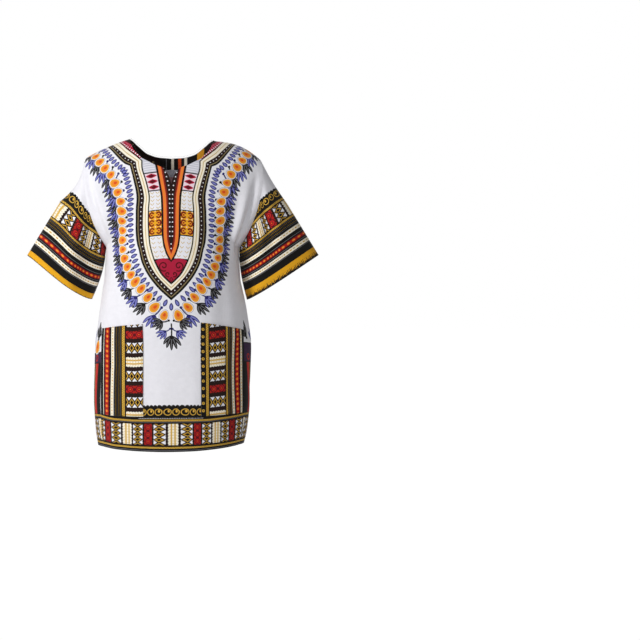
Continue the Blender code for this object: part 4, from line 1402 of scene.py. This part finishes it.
def wall_mesh(name, outer, inner, shade, triangles, flat, colours):
    """One closed mesh from a right side, a wrong side and the rim between them."""
    count = len(outer)
    first, second, third = (outer[triangles[:, k]] for k in range(3))
    faces_out = np.sum(np.cross(second - first, third - first) * shade[triangles[:, 0]]) > 0
    right = triangles if faces_out else triangles[:, ::-1]
    edges = np.concatenate([right[:, [0, 1]], right[:, [1, 2]], right[:, [2, 0]]])
    owner = np.tile(np.arange(len(right)), 3)
    code = edges[:, 0].astype(np.int64) * count + edges[:, 1]
    back = edges[:, 1].astype(np.int64) * count + edges[:, 0]
    open_edges = ~np.isin(code, back)
    rim = edges[open_edges]
    rim_faces = np.stack([rim[:, 1], rim[:, 0], rim[:, 0] + count, rim[:, 1] + count], axis=1)
    mesh = bpy.data.meshes.new(name)
    faces = right.tolist() + (right[:, ::-1] + count).tolist() + rim_faces.tolist()
    mesh.from_pydata(np.vstack([outer, inner]).tolist(), [], faces)
    faded = colours * (1 - WRONG_SIDE_SHARE) + WRONG_SIDE * WRONG_SIDE_SHARE
    face_colours = np.vstack([colours, faded, faded[owner[open_edges]]])
    corners = np.repeat(face_colours, [3] * (2 * len(right)) + [4] * len(rim), axis=0)
    paint = mesh.color_attributes.new("print", "FLOAT_COLOR", "CORNER")
    opaque = np.hstack([corners, np.ones((len(corners), 1))])
    paint.data.foreach_set("color", opaque.astype(np.float32).ravel())
    owners = np.zeros(len(mesh.loops), np.int32)
    mesh.loops.foreach_get("vertex_index", owners)
    layout = mesh.uv_layers.new(name="flat_cloth")
    layout.data.foreach_set("uv", (flat[owners % count] / MM).astype(np.float32).ravel())
    mesh.shade_smooth()
    mesh.normals_split_custom_set_from_vertices(np.vstack([shade, -shade]).tolist())
    return mesh


def cloth_piece(name, chart, outline, sketch, lift=None, thickness=None, inside_out=False):
    """Lays a drawn piece on its chart. lift and thickness are functions of grid rows and columns."""
    flat, triangles, inks = cut_print(outline, sketch)
    r, c = chart.find(flat)
    out = chart.read(chart.out, r, c)
    shade = unit(chart.read(chart.shade, r, c))
    outer = chart.read(chart.points, r, c)
    if lift is not None:
        outer = outer + out * lift(r, c)[:, None]
    thick = np.full(len(r), CLOTH) if thickness is None else thickness(r, c)
    inner = outer - out * thick[:, None]
    if inside_out:
        outer, inner, shade = inner, outer, -shade
    mesh = wall_mesh(name, outer, inner, shade, triangles, flat, INK_COLOURS[inks])
    piece = bpy.data.objects.new(name, mesh)
    bpy.context.scene.collection.objects.link(piece)
    print(name, len(mesh.polygons), "faces")
    return piece


# %% [markdown]
# The outlines are the paper pattern: hem, sides, armholes, shoulder seams and neckline, walked once round.
# Each keeps half of the 0.3 mm that the pieces are apart at the seams.

# %% Outlines of the pieces
HALF_GAP = SEAM_GAP / 2
ABOUT_HALF_PANEL = 0.2
EDGE_ACROSS = 1 - HALF_GAP / ABOUT_HALF_PANEL
NECK_ROUNDS = 60
CLOSEST = 1.5


def neckline(panel, count=61):
    """Places across and drops along the neckline's right half, from the shoulder to the middle."""
    across = across_at(NECK_HALF * np.sin(np.linspace(math.pi / 2, 0, count)))
    drop = np.full(count, 0.1)
    for _ in range(NECK_ROUNDS):
        x = bare_panel(panel, across, drop)[:, 0] - CENTRE_SHIFT
        drop = drop + 0.5 * (neck_drop(panel, x) - drop)
    drop[0] = HALF_GAP
    return across, drop


def panel_outline(panel):
    chart = CHARTS[panel]
    down = np.linspace(HALF_GAP, HEM_DROP, 240)
    neck_across, neck_drops = neckline(panel)
    seam = np.linspace(EDGE_ACROSS, neck_across[0], 30)[:-1]
    right = np.vstack(
        [
            flat_places(chart, EDGE_ACROSS, down[::-1]),
            flat_places(chart, seam[1:], HALF_GAP),
            flat_places(chart, neck_across, neck_drops),
        ]
    )
    left = np.vstack(
        [
            flat_places(chart, -neck_across[::-1], neck_drops[::-1])[1:],
            flat_places(chart, -seam[::-1], HALF_GAP)[:-1],
            flat_places(chart, -EDGE_ACROSS, down)[:-1],
        ]
    )
    hem = flat_places(chart, np.linspace(-EDGE_ACROSS, EDGE_ACROSS, 90)[:-1], HEM_DROP)
    return thinned(np.vstack([right, left, hem]))


def thinned(outline):
    """Drops places that lie too close to the one before, so that the grid stays even."""
    kept = [outline[0]]
    for place in outline[1:]:
        if np.linalg.norm(place - kept[-1]) > CLOSEST:
            kept.append(place)
    return np.array(kept)


def sleeve_outline(chart):
    seam = HALF_GAP * MM
    grid = chart.flat.copy()
    grid[:, 0, 0] += seam
    grid[:, -1, 0] -= seam
    top = grid[0] - [0, SEAM_GAP * MM]
    return thinned(np.vstack([top, grid[1:-1, -1], grid[-1][::-1], grid[1:-1, 0][::-1]]))


OUTLINES = {"front_panel": panel_outline("front"), "back_panel": panel_outline("back")}
for sleeve in SLEEVES:
    OUTLINES[sleeve.name] = sleeve_outline(CHARTS[sleeve.name])
for name, outline in OUTLINES.items():
    print(name, "cut:", np.round(np.ptp(outline, axis=0)), "mm,", round(abs(area_of(outline)) / 1e6, 3), "m2")

# %% [markdown]
# The panels go on first. A hem is folded twice on the real shirt, so the wall is thicker there.

# %% The two panels


def hem_thickness(r, c):
    drop = r / (PANEL_ROWS - 1) * HEM_DROP
    return CLOTH + HEM_EXTRA * np.clip((drop - HEM_DROP + HEM_FOLD) / 0.001, 0, 1)


PIECES = {}
for panel in ("front", "back"):
    name = panel + "_panel"
    PIECES[name] = cloth_piece(name, CHARTS[panel], OUTLINES[name], SKETCHES[name], thickness=hem_thickness)

# %% [markdown]
# The sleeves are drawn flat with the top line in the middle, white at the top and the border down to the
# cuff. The right cuff was cut a little lower in the ribbon, so it shows more of the brushed black edge.

# %% The two sleeves
SleeveCut = namedtuple("SleeveCut", "shift brush middle")
SLEEVE_CUTS = {"sleeve_left": SleeveCut(0, 4, 31), "sleeve_right": SleeveCut(10, 16, 12)}
SLEEVE_REACH = 300
SLEEVE_COLUMN_GAP = 3.8

# The columns are wider on top of the sleeve, where the cloth was stretched as it was hemmed.
CUFF_EASE = [
    (-170, -206), (-113.7, -150), (-83.7, -128), (-56.9, -102), (-29.8, -57), (-12.5, -26),
    (12.5, 26), (29.8, 57), (56.9, 102), (83.7, 128), (113.7, 150), (170, 206),
]


def draw_sleeve(name):
    cut = SLEEVE_CUTS[name]

    def place(points):
        x = eased(points[:, 0] - cut.middle, CUFF_EASE) + cut.middle
        return np.stack([x, points[:, 1] + cut.shift], axis=1)

    sketch = Sketch(place)
    draw_stripes(sketch, CUFF_STRIPES, -SLEEVE_REACH, SLEEVE_REACH, middle=cut.middle, gap=SLEEVE_COLUMN_GAP)
    sketch.place = plainly
    brush(sketch, -SLEEVE_REACH, SLEEVE_REACH, -1, cut.brush)
    return sketch


for sleeve in SLEEVES:
    name = sleeve.name
    PIECES[name] = cloth_piece(name, CHARTS[name], OUTLINES[name], draw_sleeve(name))

# %% [markdown]
# A patch pocket is a piece of the ribbon turned a quarter and laid on the front. It uses the front's own
# chart, lifted by the cloth below it, and its mouth gapes a little where hands go in.

# %% The two pockets
GAPE_SHARE = 0.45


def pocket_outline(pocket):
    t = np.linspace(0, 1, 40)
    across = pocket.side * (pocket.inner + (pocket.outer - pocket.inner) * t)
    mouth = pocket.mouth_inner + (pocket.mouth_outer - pocket.mouth_inner) * t
    foot = pocket.foot_inner + (pocket.foot_outer - pocket.foot_inner) * t
    chart = CHARTS["front"]
    sides = [
        flat_places(chart, across, mouth),
        flat_places(chart, across[-1], mouth[-1] + (foot[-1] - mouth[-1]) * t[1:-1]),
        flat_places(chart, across[::-1], foot[::-1]),
        flat_places(chart, across[0], foot[0] + (mouth[0] - foot[0]) * t[1:-1]),
    ]
    return thinned(np.vstack(sides))


def pocket_lift(pocket):
    def lift(r, c):
        across = np.abs(c / (PANEL_COLUMNS - 1) * 2 - 1)
        drop = r / (PANEL_ROWS - 1) * HEM_DROP
        width = np.clip((across - pocket.inner) / (pocket.outer - pocket.inner), 0, 1)
        mouth = pocket.mouth_inner + (pocket.mouth_outer - pocket.mouth_inner) * width
        foot = pocket.foot_inner + (pocket.foot_outer - pocket.foot_inner) * width
        height = np.clip((drop - mouth) / (foot - mouth), 0, 1)
        gape = np.sin(math.pi * width) ** 2 * np.maximum(1 - height / GAPE_SHARE, 0) ** 1.5
        return POCKET_GAP + POCKET_CLOTH + POCKET_GAPE * gape

    return lift


POCKET_COLUMN_GAP = 9.5
RIBBON_START = 500
RIBBON_END = 800
PocketCut = namedtuple("PocketCut", "stripes seam middle")
POCKET_CUTS = {
    "pocket_left": PocketCut(LEFT_POCKET_STRIPES, 186.5, 625.5),
    "pocket_right": PocketCut(RIGHT_POCKET_STRIPES, 206.5, 627),
}
for pocket in POCKETS:
    cut = POCKET_CUTS[pocket.name]
    sketch = Sketch(
        lambda points: np.stack([pocket.side * (cut.seam - points[:, 1]), points[:, 0]], axis=1)
    )
    draw_stripes(sketch, cut.stripes, RIBBON_START, RIBBON_END, middle=cut.middle, gap=POCKET_COLUMN_GAP)
    OUTLINES[pocket.name] = pocket_outline(pocket)
    PIECES[pocket.name] = cloth_piece(
        pocket.name, CHARTS["front"], OUTLINES[pocket.name], sketch,
        lift=pocket_lift(pocket), thickness=lambda r, c: np.full(len(r), POCKET_CLOTH),
    )

# %% [markdown]
# Inside the back neck lies a facing, a strip of the ribbon that keeps the neckline's shape, and a small
# woven label hangs from it. The label is left bare.

# %% The facing and the label


def facing_outline():
    chart = CHARTS["back"]
    across, drop = neckline("back")
    across = np.concatenate([across, -across[-2::-1]])
    drop = np.concatenate([drop, drop[-2::-1]]) + HALF_GAP
    return thinned(
        np.vstack(
            [flat_places(chart, across, drop), flat_places(chart, across[::-1], drop[::-1] + FACING_WIDTH)]
        )
    )


FacingStripe = namedtuple("FacingStripe", "ink start end")
FACING_STRIPES = [
    FacingStripe("brown", -140, -32), FacingStripe("soot", -32, -6), FacingStripe("ash", -14, -12),
    FacingStripe("black", -6, 0), FacingStripe("cream", 0, 7), FacingStripe("black", 7, 18),
    FacingStripe("ember", 18, 26), FacingStripe("soot", 26, 34), FacingStripe("cream", 34, 41),
    FacingStripe("ash", 41, 43), FacingStripe("black", 43, 68), FacingStripe("amber", 68, 86),
    FacingStripe("brown", 86, 140),
]
FACING_SPOTS = 34
FACING_TOP = -20
FACING_FOOT = 170


def draw_facing():
    """Stripes across the neck, and loose dark spots where the real strip has a small ornament."""
    sketch = Sketch()
    for stripe in FACING_STRIPES:
        sketch.box(stripe.ink, stripe.start, stripe.end, FACING_TOP, FACING_FOOT)
    draw = np.random.default_rng(11)
    for _ in range(FACING_SPOTS):
        x, y = draw.uniform(-110, -36), draw.uniform(0, 140)
        sketch.disc(draw.choice(["olive", "soot", "maroon"]), x, y, draw.uniform(1.5, 4.5), sides=7)
    return sketch


def label_outline():
    chart = CHARTS["back"]
    reach = float(across_at(LABEL_HALF))
    top = float(neck_drop("back", 0.0))
    t = np.linspace(-1, 1, 12)
    return np.vstack(
        [
            flat_places(chart, reach * t, top + LABEL_FROM),
            flat_places(chart, reach * t[::-1], top + LABEL_TO),
        ]
    )


OUTLINES["neck_facing"] = facing_outline()
PIECES["neck_facing"] = cloth_piece(
    "neck_facing", CHARTS["back"], OUTLINES["neck_facing"], draw_facing(),
    lift=lambda r, c: np.full(len(r), -CLOTH - FACING_GAP),
    thickness=lambda r, c: np.full(len(r), FACING_CLOTH), inside_out=True,
)
LABEL_GROUND = (-40, 40, 60, 200)
OUTLINES["neck_label"] = label_outline()
label_sketch = Sketch()
label_sketch.box("mist", *LABEL_GROUND)
PIECES["neck_label"] = cloth_piece(
    "neck_label", CHARTS["back"], OUTLINES["neck_label"], label_sketch,
    lift=lambda r, c: np.full(len(r), -CLOTH - 2 * FACING_GAP - FACING_CLOTH),
    thickness=lambda r, c: np.full(len(r), LABEL_CLOTH), inside_out=True,
)

# %% [markdown]
# The cloth is a light plain-weave cotton, dyed by printing. It is matt, with a faint sheen at grazing
# angles from the fine fibres that stand out of it. Real threads are about 0.3 mm apart, which is finer
# than the picture can show, so the weave is drawn at 0.8 mm and kept low. A slow noise makes the ink
# slightly uneven, as printed cloth is.

# %% Printed cotton
THREAD_PITCH = 0.0008
SLUB_SIZE = 0.012
WAVES_PER_SCALE = 20


def add_node(tree, kind, settings=None, links=None):
    """Adds a node, sets its properties and inputs, and links other nodes' outputs to its inputs."""
    node = tree.nodes.new(kind)
    for key, value in (settings or {}).items():
        if isinstance(key, str) and hasattr(node, key):
            setattr(node, key, value)
        else:
            node.inputs[key].default_value = value
    for key, source in (links or {}).items():
        tree.links.new(source, node.inputs[key])
    return node


def cotton(name, roughness, sheen, weave_height):
    material = bpy.data.materials.new(name)
    material.use_nodes = True
    tree = material.node_tree
    tree.nodes.clear()
    paint = add_node(tree, "ShaderNodeAttribute", {"attribute_name": "print"})
    flat = add_node(tree, "ShaderNodeUVMap", {"uv_map": "flat_cloth"})
    place = add_node(tree, "ShaderNodeTexCoord")
    slub = add_node(
        tree, "ShaderNodeTexNoise", {"Scale": 1 / SLUB_SIZE, "Detail": 4.0, "Roughness": 0.6},
        {"Vector": place.outputs["Object"]},
    )
    tone = add_node(
        tree, "ShaderNodeMapRange", {"From Min": 0.3, "From Max": 0.7, "To Min": 0.965, "To Max": 1.02},
        {"Value": slub.outputs["Fac"]},
    )
    dyed = add_node(
        tree, "ShaderNodeVectorMath", {"operation": "SCALE"},
        {0: paint.outputs["Color"], "Scale": tone.outputs["Result"]},
    )
    waves = []
    wave_scale = 1 / (THREAD_PITCH * WAVES_PER_SCALE)
    for direction in ("X", "Y"):
        look = {"bands_direction": direction, "Scale": wave_scale, "Distortion": 0.6, "Detail": 1.0}
        waves.append(add_node(tree, "ShaderNodeTexWave", look, {"Vector": flat.outputs["UV"]}))
    weave = add_node(
        tree, "ShaderNodeMath", {"operation": "MULTIPLY"},
        {0: waves[0].outputs["Fac"], 1: waves[1].outputs["Fac"]},
    )
    raised = add_node(
        tree, "ShaderNodeBump", {"Strength": 0.35, "Distance": weave_height},
        {"Height": weave.outputs["Value"]},
    )
    shader = add_node(
        tree, "ShaderNodeBsdfPrincipled",
        {"Roughness": roughness, "Sheen Weight": sheen, "Sheen Roughness": 0.45, "IOR": 1.46,
         "Specular IOR Level": 0.25},
        {"Base Color": dyed.outputs["Vector"], "Normal": raised.outputs["Normal"]},
    )
    add_node(tree, "ShaderNodeOutputMaterial", None, {"Surface": shader.outputs["BSDF"]})
    return material


PRINTED_COTTON = cotton("printed_plain_weave_cotton", 0.86, 0.10, 0.00025)
WOVEN_TAPE = cotton("woven_polyester_label_tape", 0.6, 0.1, 0.0003)
for name, piece in PIECES.items():
    piece.data.materials.append(WOVEN_TAPE if name == "neck_label" else PRINTED_COTTON)
print("materials:", PRINTED_COTTON.name, WOVEN_TAPE.name)

# %% [markdown]
# Seams are sewn with fine thread. Stitches repeat along a line, which is what Geometry Nodes do well: the
# line is cut into even steps and one small spindle of thread is set on each step, turned along the line.
# The tree has named inputs for the step, the stitch and the thread.

# %% A tree that sews
STITCH_STEP = 0.0034
STITCH_LENGTH = 0.0026
THREAD = 0.00045


def sewing_tree():
    tree = bpy.data.node_groups.new("run_of_stitches", "GeometryNodeTree")
    sockets = {}
    for name, kind in (("Geometry", "Geometry"), ("Step", "Float"), ("Stitch", "Float"), ("Thread", "Float"),
                       ("Material", "Material")):
        sockets[name] = tree.interface.new_socket(name=name, in_out="INPUT", socket_type="NodeSocket" + kind)
    tree.interface.new_socket(name="Geometry", in_out="OUTPUT", socket_type="NodeSocketGeometry")
    start = tree.nodes.new("NodeGroupInput")
    line = add_node(tree, "GeometryNodeMeshToCurve", None, {"Mesh": start.outputs["Geometry"]})
    steps = add_node(
        tree, "GeometryNodeCurveToPoints", {"mode": "LENGTH"},
        {"Curve": line.outputs["Curve"], "Length": start.outputs["Step"]},
    )
    ball = add_node(tree, "GeometryNodeMeshUVSphere", {"Segments": 5, "Rings": 4, "Radius": 0.5})
    size = add_node(
        tree, "ShaderNodeCombineXYZ", None,
        {"X": start.outputs["Thread"], "Y": start.outputs["Thread"], "Z": start.outputs["Stitch"]},
    )
    sewn = add_node(
        tree, "GeometryNodeInstanceOnPoints", None,
        {"Points": steps.outputs["Points"], "Instance": ball.outputs["Mesh"],
         "Rotation": steps.outputs["Rotation"], "Scale": size.outputs["Vector"]},
    )
    real = add_node(tree, "GeometryNodeRealizeInstances", None, {"Geometry": sewn.outputs["Instances"]})
    painted = add_node(
        tree, "GeometryNodeSetMaterial", None,
        {"Geometry": real.outputs["Geometry"], "Material": start.outputs["Material"]},
    )
    end = tree.nodes.new("NodeGroupOutput")
    tree.links.new(painted.outputs["Geometry"], end.inputs["Geometry"])
    return tree, {name: socket.identifier for name, socket in sockets.items()}


SEWING, SEWING_INPUTS = sewing_tree()


def thread_material(name, code):
    """Spun polyester thread: a soft round gloss that catches the light along each stitch."""
    material = bpy.data.materials.new(name)
    material.use_nodes = True
    shader = material.node_tree.nodes["Principled BSDF"]
    place = add_node(material.node_tree, "ShaderNodeTexCoord")
    twist = add_node(
        material.node_tree, "ShaderNodeTexNoise", {"Scale": 900.0}, {"Vector": place.outputs["Object"]}
    )
    low, high = ([v * share for v in linear(code)] + [1.0] for share in (0.85, 1.0))
    mix = add_node(
        material.node_tree, "ShaderNodeMix", {"data_type": "RGBA"}, {"Factor": twist.outputs["Fac"]}
    )
    mix.inputs[6].default_value = low
    mix.inputs[7].default_value = high
    material.node_tree.links.new(mix.outputs[2], shader.inputs["Base Color"])
    shader.inputs["Roughness"].default_value = 0.5
    return material


def sewn_lines(name, lines_of_points, material):
    """Sews along lines that lie on the shirt, and keeps the stitches as one plain mesh."""
    points = [tuple(p) for line in lines_of_points for p in line]
    edges = []
    start = 0
    for line in lines_of_points:
        edges += [(start + k, start + k + 1) for k in range(len(line) - 1)]
        start += len(line)
    mesh = bpy.data.meshes.new(name + "_lines")
    mesh.from_pydata(points, edges, [])
    maker = bpy.data.objects.new(name + "_lines", mesh)
    bpy.context.scene.collection.objects.link(maker)
    modifier = maker.modifiers.new("sewing", "NODES")
    modifier.node_group = SEWING
    sizes = {"Step": STITCH_STEP, "Stitch": STITCH_LENGTH, "Thread": THREAD, "Material": material}
    for key, value in sizes.items():
        modifier[SEWING_INPUTS[key]] = value
    graph = bpy.context.evaluated_depsgraph_get()
    made = bpy.data.meshes.new_from_object(maker.evaluated_get(graph))
    made.name = name
    bpy.data.objects.remove(maker)
    sewn = bpy.data.objects.new(name, made)
    bpy.context.scene.collection.objects.link(sewn)
    made.shade_smooth()
    print(name, len(made.polygons), "faces of thread")
    return sewn


# %% [markdown]
# Stitching lines are drawn on the flat pieces like the print, then carried over by the same charts: round
# the neckline, along the hem and the cuffs, and round the pockets.

# %% Sew the shirt
THREAD_SEAT = 0.35 * THREAD
NECK_INSET = 4.0
HEM_STITCH_INSET = 0.001
CUFF_HEM = 13.0
POCKET_INSET = 2.0


def on_cloth(chart, flat_line, lift=0.0):
    """A line in flat millimetres as points on the cloth, with the thread half sunk in."""
    r, c = chart.find(divided(np.asarray(flat_line, float), closed=False))
    raise_by = np.full(len(r), lift) if np.isscalar(lift) else lift(r, c)
    return chart.read(chart.points, r, c) + chart.read(chart.out, r, c) * (raise_by + THREAD_SEAT)[:, None]


def neck_stitches(panel):
    across, drop = neckline(panel)
    across = np.concatenate([across, -across[-2::-1]])
    drop = np.concatenate([drop, drop[-2::-1]])
    return sideways(flat_places(CHARTS[panel], across, drop), -NECK_INSET)[3:-3]


def hem_stitches(panel):
    across = np.linspace(-EDGE_ACROSS, EDGE_ACROSS, 120)
    return flat_places(CHARTS[panel], across, HEM_DROP - HEM_FOLD + HEM_STITCH_INSET)


BLACK_THREAD = thread_material("spun_polyester_thread_black", "#1c1a18")
SEWN = {}
for panel in ("front", "back"):
    neck, hem = (on_cloth(CHARTS[panel], line(panel)) for line in (neck_stitches, hem_stitches))
    SEWN[panel + "_panel"] = sewn_lines(panel + "_stitches", [neck, hem], BLACK_THREAD)
for sleeve in SLEEVES:
    chart = CHARTS[sleeve.name]
    round_cuff = np.linspace(chart.flat[-1, 1, 0], chart.flat[-1, -2, 0], 100)
    cuff_line = np.stack([round_cuff, np.full(100, CUFF_HEM)], axis=1)
    SEWN[sleeve.name] = sewn_lines(sleeve.name + "_stitches", [on_cloth(chart, cuff_line)], BLACK_THREAD)
for pocket in POCKETS:
    outline = OUTLINES[pocket.name]
    middle = outline.mean(axis=0)
    reach = np.ptp(outline, axis=0) / 2
    inset = middle + (outline - middle) * (1 - POCKET_INSET / reach)
    closed = np.vstack([inset, inset[:1]])
    SEWN[pocket.name] = sewn_lines(
        pocket.name + "_stitches", [on_cloth(CHARTS["front"], closed, pocket_lift(pocket))], BLACK_THREAD
    )

# %% [markdown]
# Each new piece stands for its node of the imported model, rides with the one body and takes a material slot.
# The stitches go with the piece that they are sewn on.

# %% Tie the cloth to the imported model
for name, piece in PIECES.items():
    piece.name = name + "_cloth"
    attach(piece, "root")
    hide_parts(name)
    if name in SEWN:
        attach(SEWN[name], "root")

# %% [markdown]
# The stage is a plain pale floor well below the hem, since a wearer would hold the shirt up, and a white
# surround. Large soft lamps from the front left, the front and behind give the gentle shading of a studio.

# %% Floor and light
FLOOR_Z = -1.25
FLOOR_HALF = 30
FLOOR_GLOW = 1.02
SOFT_LIGHT = 0.26


def make_floor():
    mesh = bpy.data.meshes.new("studio_floor")
    corners = [(FLOOR_HALF * x, FLOOR_HALF * y, FLOOR_Z) for x, y in ((-1, -1), (1, -1), (1, 1), (-1, 1))]
    mesh.from_pydata(corners, [], [(0, 1, 2, 3)])
    floor = bpy.data.objects.new("studio_floor", mesh)
    bpy.context.scene.collection.objects.link(floor)
    material = bpy.data.materials.new("matt_white_studio_floor")
    material.use_nodes = True
    tree = material.node_tree
    tree.nodes.clear()
    rays = add_node(tree, "ShaderNodeLightPath")
    paint = add_node(tree, "ShaderNodeBsdfDiffuse", {"Color": (*linear("#e9e9e9"), 1), "Roughness": 0.9})
    glow = add_node(tree, "ShaderNodeEmission", {"Color": (1, 1, 1, 1), "Strength": FLOOR_GLOW})
    seen = add_node(
        tree, "ShaderNodeMixShader", None,
        {0: rays.outputs["Is Camera Ray"], 1: paint.outputs["BSDF"], 2: glow.outputs["Emission"]},
    )
    add_node(tree, "ShaderNodeOutputMaterial", None, {"Surface": seen.outputs["Shader"]})
    mesh.materials.append(material)


def make_surround():
    world = bpy.data.worlds.new("white_surround")
    world.use_nodes = True
    tree = world.node_tree
    tree.nodes.clear()
    rays = add_node(tree, "ShaderNodeLightPath")
    soft = add_node(tree, "ShaderNodeBackground", {"Color": (1, 1, 1, 1), "Strength": SOFT_LIGHT})
    plain = add_node(tree, "ShaderNodeBackground", {"Color": (1, 1, 1, 1), "Strength": 1.0})
    seen = add_node(
        tree, "ShaderNodeMixShader", None,
        {0: rays.outputs["Is Camera Ray"], 1: soft.outputs["Background"], 2: plain.outputs["Background"]},
    )
    add_node(tree, "ShaderNodeOutputWorld", None, {"Surface": seen.outputs["Shader"]})
    bpy.context.scene.world = world


Lamp = namedtuple("Lamp", "name place aim size power")
LAMPS = [
    Lamp("key_softbox", (-2.5, -2.3, 1.0), (0, 0, -0.35), 1.0, 90),
    Lamp("fill_softbox", (0.6, -3.4, 0.2), (0, 0, -0.4), 2.0, 8),
    Lamp("back_softbox", (0.4, 2.8, 1.2), (0, 0, -0.3), 2.0, 40),
]


def make_lamps():
    for lamp in LAMPS:
        light = bpy.data.lights.new(lamp.name, "AREA")
        light.shape = "DISK"
        light.size = lamp.size
        light.energy = lamp.power
        holder = bpy.data.objects.new(lamp.name, light)
        holder.location = lamp.place
        holder.rotation_euler = (Vector(lamp.aim) - Vector(lamp.place)).to_track_quat("-Z", "Y").to_euler()
        bpy.context.scene.collection.objects.link(holder)


make_floor()
make_surround()
make_lamps()
bpy.context.scene.view_settings.view_transform = "Standard"
print("floor at", FLOOR_Z, "m, and", len(LAMPS), "lamps")

# %% [markdown]
# The camera stands 3.1 m away at the middle of the shirt's height and is turned a little to the right,
# because the photograph shows the shirt left of its centre.

# %% Camera
IMAGE_SIDE = 640
FOCAL_PIXELS = 1203
SENSOR = 36
CAMERA_PLACE = (0, -3.1, -0.405)
TURN_RIGHT = math.radians(6.97)
TILT_DOWN = math.radians(0.95)

camera = bpy.data.cameras.new("camera")
camera.sensor_width = SENSOR
camera.lens = SENSOR * FOCAL_PIXELS / IMAGE_SIDE
stand = bpy.data.objects.new("camera", camera)
stand.location = CAMERA_PLACE
stand.rotation_euler = (math.radians(90) - TILT_DOWN, 0, -TURN_RIGHT)
bpy.context.scene.collection.objects.link(stand)
bpy.context.scene.camera = stand
print("lens", round(camera.lens, 1), "mm")
